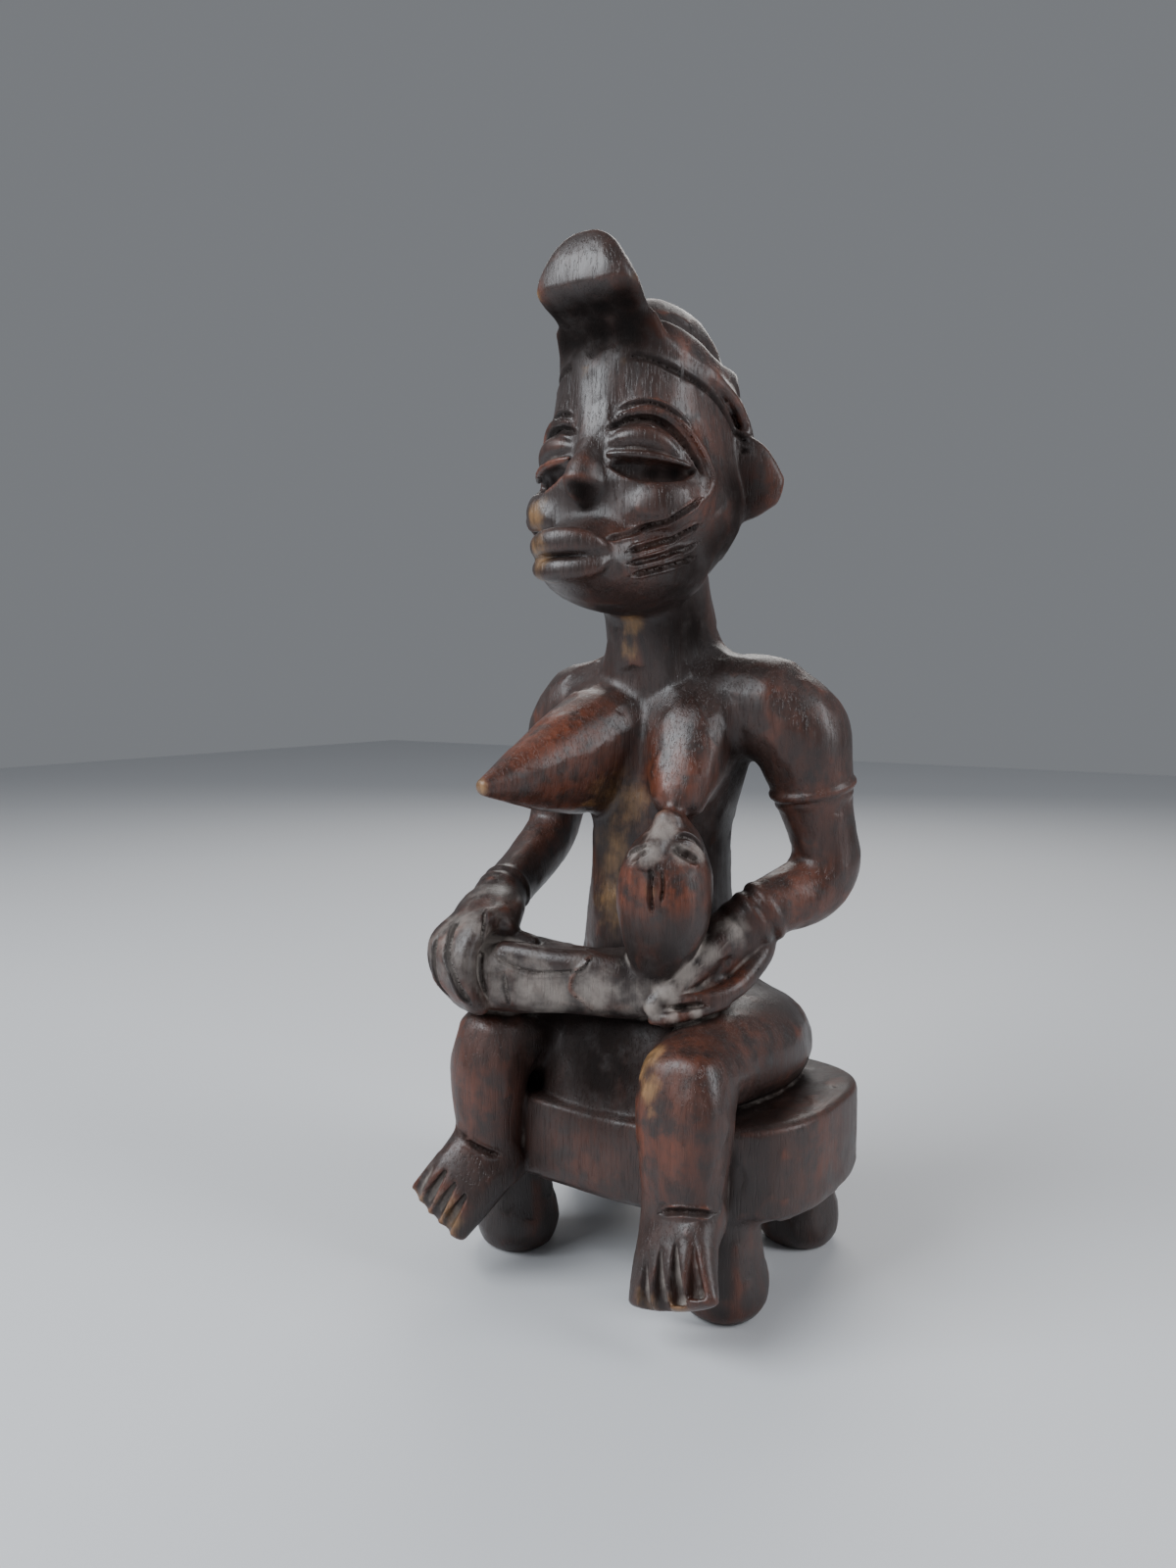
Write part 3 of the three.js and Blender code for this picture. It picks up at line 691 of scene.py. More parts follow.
class CARVING_OT_head(bpy.types.Operator):
    """Add skull, muzzle, nose, lips, eyes, face rims, ears, hair cap and crest"""

    bl_idname = "carving.head"
    bl_label = "Head"

    def execute(self, context):
        add_form("skull", on_seat(SKULL), "head", 0, caps=(3, 4), square=SKULL_SQUARE, sides=64)
        muzzle = [
            [0, -14, 165, 24, 15, 12],
            [0, -30, 164, 22, 13.5, 14],
            [0, -40, 163.6, 17.5, 11.6, 13],
            [0, -48, 163.8, 13.4, 9.4, 10],
            [0, -53.5, 163.8, 9.5, 6.6, 6.6],
        ]
        add_form("muzzle", on_seat(muzzle), "head", 5, caps=(0, 2), square=2.2)
        tree = face_tree(["skull", "muzzle"])
        self.features(tree)
        self.lips()
        self.ears()
        self.hair()
        names = ["skull", "muzzle"]
        for part in ("cheek", "lid", "lower lid", "face rim"):
            names += [f"{part} {side}" for side in (1, -1)]
        self.lines(face_tree(names))
        return {"FINISHED"}

    def lines(self, tree):
        """Fine lines of the face as angle and height, then half width and depth."""
        cuts = {
            "upper brow": ([(15, 206), (22, 207.2), (32, 207.8), (45, 205.4), (58, 200)], 0.9, 0.7),
            "brow ridge": (
                [(13, 203.8), (25, 205.6), (36, 205.8), (51, 200.8), (62, 193.4), (66.5, 185)],
                1.0,
                -0.6,
            ),
            "brow": (
                [
                    (10, 200.4),
                    (18, 202.4),
                    (28, 203.2),
                    (38, 202.2),
                    (47, 198.8),
                    (56, 193.2),
                    (61, 188),
                ],
                1.5,
                1.4,
            ),
            "cheek edge": ([(15, 168.4), (23, 170.6), (35.5, 173), (47, 176.4), (58, 181)], 1.1, 1.0),
            "upper scar": ([(23, 165.4), (32, 167.4), (42, 169.6), (52, 171.8), (62, 174.4)], 1.0, 1.0),
            "middle scar": ([(23, 162), (33, 163.8), (42, 165.4), (53, 167.4), (64, 169.6)], 1.0, 1.0),
            "lower scar": ([(24, 159), (33, 160.6), (42, 162), (53, 163.8), (63, 165.6)], 1.0, 1.0),
        }
        for side in (1, -1):
            for name, (places, width, depth) in cuts.items():
                points = [on_face(tree, side * angle, height) for angle, height in places]
                add_line(f"{name} {side}", points, width, depth, burr=0.45)

    def features(self, tree):
        """Forehead, nose, cheeks, closed eyes and the raised rim round the face."""
        brow_band = [
            [0, -34, 196, 6.0, 8.6, 4],
            [0, -33, 203, 6.8, 7.4, 4],
            [0, -32, 211, 8.2, 7.0, 4],
            [0, -31, 219, 9.6, 6.8, 4],
            [0, -29, 224, 9.6, 5, 4],
        ]
        add_form("forehead band", on_seat(brow_band), "head", 3, square=3, caps=(4, 2))
        nose = [
            [0, -36, 178.6, 4.4, 8.2, 4],
            [0, -36, 182, 6.4, 11, 4],
            [0, -36, 185, 7.6, 14, 4],
            [0, -36, 187.2, 7.0, 15.4, 4],
            [0, -36, 189.6, 6.0, 13.4, 4],
            [0, -35.6, 193, 4.9, 10.4, 4],
            [0, -35.2, 197.5, 4.8, 8.2, 4],
            [0, -35, 203, 5.4, 6.0, 4],
        ]
        add_form("nose", on_seat(nose), "head", 1.0, square=2.3, caps=(0, 2))
        cave = [[-6.4, -47, 181.6, 2.0], [0, -50.6, 181.4, 3.6], [6.4, -47, 181.6, 2.0]]
        band = {"across": (0, 0, 1), "caps": (1, 1)}
        add_form("under the nose", on_seat(even(cave)), "head", 0.4, cut=True, **band)
        slits = []
        for side in (1, -1):
            cheek = [
                (16, 176, 4.6),
                (26, 177.4, 6.8),
                (38, 179, 8.2),
                (49, 181, 7.2),
                (59, 184, 4.2),
            ]
            rows = face_rows(tree, cheek, -4.8, side)
            add_form(f"cheek {side}", rows, "head", 1.2, across=(0, 0, 1), caps=(3, 2))
            hollow = [
                (15, 190.0, 1.2),
                (22, 189.2, 2.6),
                (33, 188.0, 3.2),
                (45, 187.8, 2.9),
                (54, 188.6, 1.2),
            ]
            rows = face_rows(tree, hollow, -1.0, side)
            add_form(f"eye hollow {side}", rows, "head", 0.4, cut=True, **band)
            slit = [
                (11, 194.9, 0.5),
                (20, 195.0, 0.9),
                (29, 194.6, 1.0),
                (39, 193.4, 0.9),
                (50, 191.2, 0.5),
            ]
            slits.append(face_rows(tree, slit, 1.5, side))
            lid = [
                (12, 196.8, 1.4),
                (19, 197.6, 2.8),
                (29, 197.8, 3.3),
                (39, 196.2, 2.9),
                (49, 192.6, 1.4),
            ]
            rows = face_rows(tree, lid, -0.4, side)
            add_form(f"lid {side}", rows, "head", 0.6, **band)
            lower = [
                (12, 193.4, 0.8),
                (21, 193.2, 1.2),
                (33, 192.4, 1.3),
                (44, 191.2, 1.1),
                (53, 189.8, 0.7),
            ]
            rows = face_rows(tree, lower, 0.8, side)
            add_form(f"lower lid {side}", rows, "head", 0.5, **band)
            rim = [
                (18, 204.6, 0.8),
                (32, 205.2, 1.2),
                (45, 203.0, 1.4),
                (57, 198.4, 1.6),
                (65, 192, 1.7),
                (66, 185.6, 1.7),
                (58, 180, 1.5),
                (46, 175.6, 1.4),
                (32, 172.4, 1.2),
                (20, 169.4, 0.9),
            ]
            rows = face_rows(tree, rim, 0.1, side)
            add_form(f"face rim {side}", rows, "head", 1.5, across=(0.2, 0.2, 1), sides=24)
        thin = {"across": (0, 0, 1), "caps": (0.5, 0.5), "sides": 24}
        for number, rows in enumerate(slits):
            add_form(f"eye slit {number}", rows, "head", 0.2, cut=True, **thin)

    def lips(self):
        """Two lips that meet in an upright edge at the middle of the mouth."""
        upper = [
            (11.8, -48.4, 165.0, 1.2),
            (9.6, -52.4, 167.0, 2.9),
            (5.4, -55.0, 168.2, 3.6),
            (0, -56.0, 168.4, 3.8),
        ]
        lower = [
            (11.8, -48.4, 163.8, 1.2),
            (9.4, -52.0, 161.6, 2.7),
            (5.4, -54.2, 160.6, 3.2),
            (0, -55.2, 160.4, 3.4),
        ]
        for name, half in (("upper lip", upper), ("lower lip", lower)):
            rows = [[-x, y, z, r] for x, y, z, r in half] + [[x, y, z, r] for x, y, z, r in half[-2::-1]]
            add_form(name, on_seat(even(rows)), "head", 0.6, across=(0, 1, 0), square=2.6, caps=(1, 1))

    def ears(self):
        """Half-disc ears, hollowed in front."""
        upright = (0, 0, 1)
        for side in (1, -1):
            flange = [
                [side * 22, -1, 190.2, 16, 4.5, 4.5],
                [side * 28, 0.8, 189.2, 13.4, 3.7, 3.9],
                [side * 33.5, 2.4, 187.6, 9.8, 3.0, 3.2],
                [side * 38, 3.8, 186.3, 4.8, 2.2, 2.2],
            ]
            flange = on_seat(flange)
            add_form(f"ear {side}", flange, "ears", 0, across=upright, caps=(0, 1.2), square=2.15)
            hollow = [
                [side * 24, -6.6, 189.9, 12.8, 3.6, 3.6],
                [side * 29, -5.0, 188.9, 10.6, 3.2, 3.2],
                [side * 34.2, -2.6, 187.4, 7.0, 2.7, 2.7],
            ]
            hollow = on_seat(hollow)
            add_form(f"ear hollow {side}", hollow, "ears", 1.0, cut=True, across=upright, caps=(4, 1.5))

    def hair(self):
        """A close cap with a raised edge that runs up into the two lobes of the crest."""
        shell = [[x, y, z, w + 1.5, f + 1.5, b + 1.5] for x, y, z, w, f, b in SKULL[3:8]]
        shell += [
            [0, -8, 219.5, 25.2, 29.6, 27.2],
            [0, -8, 223.5, 23.6, 26.4, 26.0],
            [0, -7, 226.2, 18, 21, 21],
        ]
        add_form("hair cap", on_seat(shell), "hair", 0, caps=(2, 3), square=SKULL_SQUARE, sides=64)
        bare_face = [[-60, -35, 186, 41, 70, 36], [60, -35, 186, 41, 70, 36]]
        add_form(
            "bare face",
            on_seat(bare_face),
            "hair",
            0.3,
            cut=True,
            across=(0, 1, 0),
            square=2.6,
            sides=128,
        )
        under = [
            [-26, -46, 226, 11],
            [-13, -51, 227, 16.5],
            [0, -52.5, 227, 17.5],
            [13, -51, 227, 16.5],
            [26, -46, 226, 11],
        ]
        add_form(
            "under the crest",
            on_seat(even(under)),
            "hair",
            1.5,
            cut=True,
            across=(0, 0, 1),
            sides=72,
        )
        self.crest()
        for side in (1, -1):
            rim = [
                [side * 15, -33, 231.5, 2.2],
                [side * 16.2, -29, 226, 2.5],
                [side * 19.6, -23, 220.5, 2.5],
                [side * 24, -13, 217, 2.3],
                [side * 26.8, -3.5, 212, 2.0],
                [side * 28, 3, 204, 1.7],
                [side * 28.4, 5, 196, 1.4],
            ]
            add_form(
                f"hair rim {side}",
                on_seat(even(rim)),
                "hair",
                2.0,
                across=(0, 1, 0),
                caps=(2, 2),
                sides=24,
            )
            edge = [
                [side * 11, -38.5, 221.5],
                [side * 16, -33.5, 220.2],
                [side * 20, -27, 217],
                [side * 23.8, -16, 213],
                [side * 26, -6, 207.5],
                [side * 27.4, 0.5, 200.5],
                [side * 28, 2.6, 193],
            ]
            add_line(f"hair edge {side}", on_seat(edge), 1.5, 1.1, burr=0.1)

    def crest(self):
        """The forward lobe, whose sections stay level where it leans forward, and the rear lobe."""
        front = [
            [0, -22, 212, 18, 13, 14],
            [0, -22, 219, 17.6, 12.6, 12],
            [0, -25, 223, 16.6, 9.2, 9],
            [0, -28, 227, 15.4, 7, 7],
            [0, -31, 231, 14.8, 6.6, 5.6],
            [0, -35, 234.5, 15.0, 7.2, 5.6],
            [0, -39, 237, 15.8, 7.8, 5.6],
            [0, -42.5, 239.6, 16.2, 6.6, 6],
            [0, -43.6, 243, 15.0, 5.4, 5.0],
            [0, -43.8, 247, 12.6, 4.4, 4.0],
            [0, -43.6, 250.5, 10.2, 3.4, 3.2],
            [0, -43.4, 252.8, 7.6, 2.4, 2.4],
            [0, -43.4, 254.2, 5.0, 1.4, 1.4],
        ]
        table = np.array(on_seat(front))
        upright = table.copy()
        upright[:, :2] = 0
        points, triangles = loft(upright, steps=4, caps=(0, 0.6), square=2.9)
        # the sections are stacked upright first and then moved level to their own middles
        for axis in (0, 1):
            points[:, axis] += np.interp(points[:, 2], table[:, 2], table[:, axis])
        add_mesh("crest front", points, triangles, "hair", 1.5)
        rear = [
            [0, -24, 212, 18, 10, 8],
            [0, -14, 228, 15.5, 13.5, 9],
            [0, 0, 231.5, 15, 13, 9],
            [0, 11, 222, 16, 12, 8],
            [0, 16, 207, 16.5, 11, 8],
            [0, 15.5, 190, 14, 10, 8],
            [0, 11, 172, 8, 8, 6],
        ]
        add_form("crest rear", on_seat(rear), "hair", 1.0, square=1.8)


class CARVING_OT_child(bpy.types.Operator):
    """Add the child that lies across her lap with its head tipped up"""

    bl_idname = "carving.child"
    bl_label = "Child"

    def execute(self, context):
        body = [
            [16, -28, 39, 11, 10, 10],
            [6, -30, 38, 11, 10.5, 10.5],
            [-4, -33, 37.5, 10.4, 10.2, 10.2],
            [-13, -36.5, 37.5, 9.8, 10.2, 10],
            [-24, -41.5, 37.2, 9.6, 10.4, 10.2],
            [-33, -45, 38.2, 10.4, 10.8, 11],
            [-40, -47, 40, 9.6, 10.4, 10.8],
        ]
        add_form("child body", on_seat(body), "child", 0, across=(0, 1, 0), caps=(4, 6), square=2.3)
        upper_arm = [
            [8, -36.5, 43, 4.6],
            [-2, -40.2, 44.6, 4.6],
            [-10, -43.5, 45, 4.2],
            [-20, -46, 46, 4.0],
            [-27, -48, 46.5, 3.6],
        ]
        add_form("child arm", on_seat(even(upper_arm)), "child", 2.2, across=(0, 1, 0), caps=(3, 3))
        far_leg = [[-12, -28, 40, 6], [-24, -33, 42.5, 6], [-34, -37, 44, 6]]
        add_form("child far leg", on_seat(even(far_leg)), "child", 2.5, across=(0, 1, 0), caps=(0, 3))
        head = [
            [20, -26, 88.5, 4.2, 4.4, 5],
            [20, -27, 82.5, 9.2, 8.8, 9],
            [19.5, -28.5, 75.5, 12.8, 12, 12],
            [19, -30, 67, 14.2, 13, 12],
            [19, -31, 58, 13.3, 12.2, 11],
            [18.5, -32, 49, 10, 9.4, 9],
            [18, -32, 42.5, 6, 6, 6],
        ]
        add_form("child head", on_seat(head), "child head", 0, caps=(2, 4), square=2.25)
        nose = [
            [20.6, -34.6, 87, 1.6],
            [20.3, -37.0, 83.5, 2.4],
            [20, -38.8, 80, 3.4],
            [19.8, -38.6, 76.5, 4.6],
        ]
        add_form("child nose", on_seat(even(nose)), "child head", 2.5, across=(1, 0, 0), caps=(1, 1))
        ridge = [[23, -40.4, 75.5, 1.3], [22.9, -41.2, 70.5, 1.5], [22.6, -41.0, 65, 1.2]]
        add_form("child hair ridge", on_seat(even(ridge)), "child head", 0.7, caps=(1, 1))
        mouth = [[17, -29, 88.5, 2.2], [20, -31, 89.6, 2.5], [23, -29, 88.5, 2.2]]
        add_form("child mouth", on_seat(even(mouth)), "child head", 2.0, across=(0, 1, 0), caps=(1, 1))
        self.lines()
        return {"FINISHED"}

    def lines(self):
        """Fine lines of the child as places over the seat, then half width and depth."""
        cuts = {
            "child left lid": (
                [[25, -34, 84.5], [27.5, -31, 84.5], [29.5, -28.5, 82.5], [31, -26, 79]],
                1.2,
                1.1,
            ),
            "child left eye": (
                [[25, -36, 82.5], [27.5, -35.5, 80.5], [30, -34, 79], [31.5, -31, 78]],
                1.8,
                1.4,
            ),
            "child right lid": ([[10.5, -38, 77.5], [13.5, -37.5, 80], [20, -41, 82.5]], 1.1, 1.0),
            "child right eye": ([[12.5, -40, 76], [16, -40.5, 78.5], [21, -41.5, 81]], 1.2, 1.0),
            "child ridge side": ([[21.5, -42, 77], [21.5, -42, 70], [22, -42, 63]], 1.1, 0.9),
            "child ridge other side": ([[24.5, -41, 76], [25, -41, 71], [24.5, -41.5, 66]], 0.8, 0.9),
            "child arm edge": (
                [
                    [-27, -53, 46],
                    [-20, -49, 42.5],
                    [-10.5, -48, 41.5],
                    [-3, -46.5, 42.5],
                    [0.5, -42, 46],
                ],
                1.1,
                0.5,
            ),
            "child wrist crease": ([[-24, -52, 41.5], [-23.5, -52, 37.5], [-23.5, -50, 31]], 1.0, 0.7),
            "child shoulder": (
                [[0.5, -41, 47], [-2, -46.5, 43], [-5, -44, 37.5], [-0.5, -42.5, 33.5], [2, -39.5, 30]],
                1.3,
                -0.7,
            ),
        }
        for name, (places, width, depth) in cuts.items():
            add_line(name, on_seat(places), width, depth, taper=2)


class CARVING_OT_hands(bpy.types.Operator):
    """Add the fingers of both hands and the right thumb"""

    bl_idname = "carving.hands"
    bl_label = "Fingers"

    def execute(self, context):
        finger = {"caps": (2, 2), "square": 2.3, "sides": 24}
        for number in range(4):
            x, back = -32.5 - 5 * number, 1.6 * number
            rows = [
                [x, -42 + back, 57 - number, 3.3],
                [x - 0.5, -52 + back, 54.4 - number, 3.4],
                [x - 1, -58.4 + back, 47, 3.3],
                [x + number * 0.4, -59 + back, 38, 3.1],
                [x + 1 + number, -53.5 + back, 30, 2.6],
            ]
            add_form(f"right finger {number}", on_seat(even(rows)), "fingers", 5, **finger)
        thumb = [
            [-40, -39, 54, 4.6],
            [-35, -41, 50.4, 4.4],
            [-29, -40.6, 48.6, 3.8],
            [-23, -38.6, 47.4, 3.2],
        ]
        add_form("right thumb", on_seat(even(thumb)), "fingers", 0.6, **finger)
        for number in range(4):
            rows = [
                [26 + 2.2 * number, -16 - 1.2 * number, 47 - 3.4 * number, 3.4],
                [19 + 2.8 * number, -25 - 1.4 * number, 41.5 - 3 * number, 3.4],
                [13 + 3.2 * number, -32.5 - number, 35.5 - 1.6 * number, 2.6],
            ]
            add_form(f"left finger {number}", on_seat(even(rows)), "fingers", 4, **finger)
        # raised bars on the back of the left hand, which show as its separate fingers
        bar = {"across": (0, 0, 1), "caps": (2, 2), "square": 2.4, "sides": 24}
        bars = {
            "left index": [
                [33, -14, 54, 5.0],
                [29.5, -20.5, 48.5, 4.6],
                [25.5, -28, 42.5, 4.2],
                [22, -33.5, 38, 3.6],
                [19, -37.5, 33.5, 2.8],
            ],
            "left middle": [
                [38.5, -3, 54, 4.4],
                [39.5, -6, 47.5, 3.7],
                [38.5, -14, 41.5, 3.2],
                [36.5, -21, 38, 3.0],
                [33, -27, 36.5, 2.6],
                [28.5, -31.5, 36.3, 2.0],
                [24.5, -34.5, 36, 1.5],
            ],
            "left last": [
                [36, -23.5, 35, 2.0],
                [31, -32, 33, 1.8],
                [25.5, -36.5, 31.8, 1.7],
                [20, -37.5, 30.5, 1.5],
            ],
        }
        for name, rows in bars.items():
            add_form(name, on_seat(even(rows)), "fingers", 0.8, **bar)
        cuts = {
            "right near edge": (
                [
                    [-33.5, -48.5, 59],
                    [-30.5, -54.5, 53.5],
                    [-31.5, -54, 46],
                    [-30.5, -54.5, 38.5],
                    [-29, -53.5, 32.5],
                ],
                0.9,
                0.9,
            ),
            "right gap 1": (
                [
                    [-41.5, -52, 55.5],
                    [-39.5, -58, 51],
                    [-38, -60.5, 46],
                    [-35, -62, 41],
                    [-33, -61.5, 35.5],
                    [-31.5, -59, 32],
                ],
                1.9,
                1.6,
            ),
            "right gap 2": (
                [
                    [-46, -56, 51],
                    [-45.5, -59, 46.5],
                    [-45, -58.5, 41],
                    [-43.5, -58, 36],
                    [-40.5, -57.5, 32.5],
                ],
                1.5,
                1.4,
            ),
            "right gap 3": ([[-49, -56.5, 46], [-48.5, -57, 40.5], [-47.5, -56, 35]], 1.1, 1.0),
            "left slot": ([[33, -29, 35], [28.5, -32.5, 34.5], [24, -35.5, 34.5]], 1.3, 1.3),
        }
        for name, (places, width, depth) in cuts.items():
            add_line(name, on_seat(places), width, depth, burr=0.1)
        return {"FINISHED"}


# Fusing the forms into one block


class Block:
    """Signed distances to the carving's surface in a grid of cells, in mm, negative inside."""

    def __init__(self, low, high, cell):
        self.cell = cell
        self.first = np.floor((np.asarray(low) - BAND) / cell).astype(int)
        size = np.ceil((np.asarray(high) + BAND) / cell).astype(int) - self.first
        self.field = np.full(size, BAND, np.float32)

    def distances(self, form):
        """The first cell and the distances around one form."""
        mesh = form.data
        points = np.empty(len(mesh.vertices) * 3, np.float32)
        mesh.vertices.foreach_get("co", points)
        corners = np.empty(len(mesh.polygons) * 3, np.int32)
        mesh.polygons.foreach_get("vertices", corners)
        grid = openvdb.FloatGrid.createLevelSetFromPolygons(
            (points / MM).reshape(-1, 3).astype(np.float32),
            triangles=corners.reshape(-1, 3).astype(np.uint32),
            transform=openvdb.createLinearTransform(voxelSize=self.cell),
            halfWidth=BAND / self.cell,
        )
        low, high = (np.array(corner) for corner in grid.evalActiveVoxelBoundingBox())
        low = np.maximum(low, self.first)
        high = np.minimum(high, self.first + self.field.shape - 1)
        patch = np.empty(high - low + 1, np.float32)
        grid.copyToArray(patch, ijk=tuple(int(i) for i in low))
        return low, patch

    def window(self, low, shape):
        """The part of the grid that a patch covers."""
        start = low - self.first
        return self.field[tuple(slice(a, a + n) for a, n in zip(start, shape))]

    def combine(self, low, patch, blend, cut):
        """Joins or cuts a patch with a rounded seam of the blend radius."""
        here = self.window(low, patch.shape)
        if cut:
            here[...] = -rounded_least(-here, patch, blend)
        else:
            here[...] = rounded_least(here, patch, blend)


def rounded_least(a, b, blend):
    """The lesser of two distances, made less where both are alike, for a rounded seam."""
    least = np.minimum(a, b)
    if blend <= 0:
        return least
    soft = np.clip(blend - np.abs(a - b), 0, None)
    soft[np.abs(least) >= BAND * 0.98] = 0
    return least - soft * soft / (4 * blend)


# Groups in the order in which they join the block, with the seam's radius.
GROUPS = (
    ("body", 0),
    ("stool", 1.2),
    ("child", 1.0),
    ("child head", 0.9),
    ("fingers", 0.7),
    ("head", 2.5),
    ("hair", 0.2),
    ("ears", 1.2),
)


def fuse(forms, cell):
    """All forms as one closed surface: points in mm and quads."""
    corners = np.array([corner for form in forms for corner in form.bound_box]) / MM
    block = Block(corners.min(0), corners.max(0), cell)
    for group, seam in GROUPS:
        members = [form for form in forms if form["group"] == group]
        corners = np.array([c for f in members if not f["cut"] for c in f.bound_box]) / MM
        part = Block(corners.min(0), corners.max(0), cell)
        for form in members:
            low, patch = part.distances(form)
            part.combine(low, patch, form["blend"], form["cut"])
        inside = np.maximum(part.first, block.first)
        end = np.minimum(part.first + part.field.shape, block.first + block.field.shape)
        block.combine(inside, part.window(inside, end - inside), seam, False)
    grid = openvdb.FloatGrid(BAND)
    grid.copyFromArray(block.field, ijk=tuple(int(i) for i in block.first))
    grid.transform = openvdb.createLinearTransform(voxelSize=cell)
    points, _, quads = grid.convertToPolygons(isovalue=0.0, adaptivity=0.0)
    return block, points.astype(float), quads.astype(np.int64)


def main_body(points, faces):
    """Only the largest connected surface, so that nothing loose and no bubble is left."""
    label = np.arange(len(points))
    while True:
        least = label[faces].min(1)
        new = label.copy()
        for k in range(faces.shape[1]):
            np.minimum.at(new, faces[:, k], least)
        new = new[new]
        if (new == label).all():
            break
        label = new
    names, counts = np.unique(label, return_counts=True)
    keep = label == names[counts.argmax()]
    number = np.cumsum(keep) - 1
    return points[keep], number[faces[keep[faces[:, 0]]]]


class Surface:
    """Points and faces of the carving while it is worked on."""

    def __init__(self, points, faces):
        self.points = points
        self.faces = faces
        self.relink()

    def relink(self):
        """Finds each point's neighbours along the faces' edges."""
        sides = self.faces.shape[1]
        size = len(self.points)
        both = [(self.faces[:, k], self.faces[:, (k + 1) % sides]) for k in range(sides)]
        keys = np.unique(np.concatenate([np.minimum(a, b) * size + np.maximum(a, b) for a, b in both]))
        self.ends = np.stack([keys // size, keys % size], 1)
        self.count = np.bincount(self.ends.ravel(), minlength=size).astype(float)

    def split(self, marked, longest):
        """Halves the edges longer than longest of the triangles at marked points."""
        faces = self.faces
        size = len(self.points)
        after = np.roll(faces, -1, axis=1)
        keys = np.minimum(faces, after) * size + np.maximum(faces, after)
        long = np.linalg.norm(self.points[faces] - self.points[after], axis=2) > longest
        halved = np.unique(keys[long & marked[faces].any(1)[:, None]])
        number = np.minimum(np.searchsorted(halved, keys), len(halved) - 1)
        cut = halved[number] == keys
        middle = size + number
        count = cut.sum(1)

        def turned(some, first):
            order = (np.arange(3) + first[:, None]) % 3
            return [np.take_along_axis(table[some], order, 1).T for table in (faces, middle)]

        (a, b, c), (ab, _, _) = turned(count == 1, cut[count == 1].argmax(1))
        parts = [faces[count == 0], np.stack([a, ab, c], 1), np.stack([ab, b, c], 1)]
        (a, b, c), (ab, bc, _) = turned(count == 2, cut[count == 2].argmin(1) + 1)
        parts += [np.stack([ab, b, bc], 1), np.stack([a, ab, bc], 1), np.stack([a, bc, c], 1)]
        whole = count == 3
        (a, b, c), (ab, bc, ca) = faces[whole].T, middle[whole].T
        parts += [
            np.stack(corners, 1) for corners in ((a, ab, ca), (ab, b, bc), (ca, bc, c), (ab, bc, ca))
        ]
        self.points = np.concatenate(
            [self.points, (self.points[halved // size] + self.points[halved % size]) / 2]
        )
        self.faces = np.concatenate(parts)
        self.relink()

    def around(self, values):
        """The mean of a value over each point's neighbours."""
        a, b = self.ends[:, 0], self.ends[:, 1]
        size = len(self.points)
        if values.ndim == 1:
            total = np.bincount(a, values[b], size) + np.bincount(b, values[a], size)
            return total / self.count
        return np.stack([self.around(values[:, k]) for k in range(values.shape[1])], 1)

    def smooth(self, times, share=None):
        """Moves each point half way to the middle of its neighbours, or a share of that."""
        for _ in range(times):
            step = (self.around(self.points) - self.points) * 0.5
            self.points += step if share is None else step * share[:, None]

    def normals(self):
        """The direction out of the wood at each point."""
        f = self.faces
        p = self.points
        cross = np.cross(p[f[:, 2]] - p[f[:, 0]], p[f[:, -1]] - p[f[:, 1]])
        total = np.zeros_like(p)
        for k in range(f.shape[1]):
            for c in range(3):
                total[:, c] += np.bincount(f[:, k], cross[:, c], len(p))
        return total / np.linalg.norm(total, axis=1)[:, None]


def nearest_of(points, targets, reach):
    """The number of the nearest target within about reach of each point, looked up by cells."""
    low = targets.min(0) - 2 * reach
    size = np.ceil((targets.max(0) + 2 * reach - low) / reach).astype(int) + 1

    def cell_number(places):
        cells = np.clip(((places - low) / reach).astype(int), 1, size - 2)
        return (cells[:, 0] * size[1] + cells[:, 1]) * size[2] + cells[:, 2]

    target_cell = cell_number(targets)
    order = np.argsort(target_cell, kind="stable")
    first = np.searchsorted(target_cell[order], np.arange(size.prod() + 1))
    most = int(np.diff(first).max())
    here = cell_number(points)
    best = np.full(len(points), np.inf)
    nearest = np.zeros(len(points), int)
    for dx in (-1, 0, 1):
        for dy in (-1, 0, 1):
            for dz in (-1, 0, 1):
                cell = here + (dx * size[1] + dy) * size[2] + dz
                for slot in range(most):
                    place = first[cell] + slot
                    some = np.nonzero(place < first[cell + 1])[0]
                    target = order[place[some]]
                    far = ((points[some] - targets[target]) ** 2).sum(1)
                    closer = far < best[some]
                    best[some[closer]] = far[closer]
                    nearest[some[closer]] = target[closer]
    return nearest


def knife_facets(surface, spacing, depth, seed=11):
    """Flattens small areas a little, as the strokes of a broad knife leave them."""
    rng = np.random.default_rng(seed)
    calm_rounds = 30
    most_bend = 0.12  # from there on a form is too fine for the broad knife
    normals = surface.normals()
    calm = normals.copy()
    for _ in range(calm_rounds):
        calm = surface.around(calm)
    bend = 1 - np.linalg.norm(calm, axis=1)  # near 0 on broad forms, larger on fine ones
    order = rng.permutation(len(surface.points))
    cells = np.floor(surface.points[order] / spacing).astype(int)
    seeds = order[np.unique(cells, axis=0, return_index=True)[1]]
    nearest = nearest_of(surface.points, surface.points[seeds], spacing)
    home = seeds[nearest]
    calm /= np.linalg.norm(calm, axis=1)[:, None]
    plane = calm[home]
    height = np.einsum("ij,ij->i", surface.points - surface.points[home], plane)
    fade = np.clip(1 - bend / most_bend, 0, 1)
    same_side = np.clip(np.einsum("ij,ij->i", normals, plane) * 3 - 1.6, 0, 1)
    move = np.clip(-height * 0.5, -depth, depth) * fade * same_side
    surface.points += plane * move[:, None]
    surface.smooth(3)


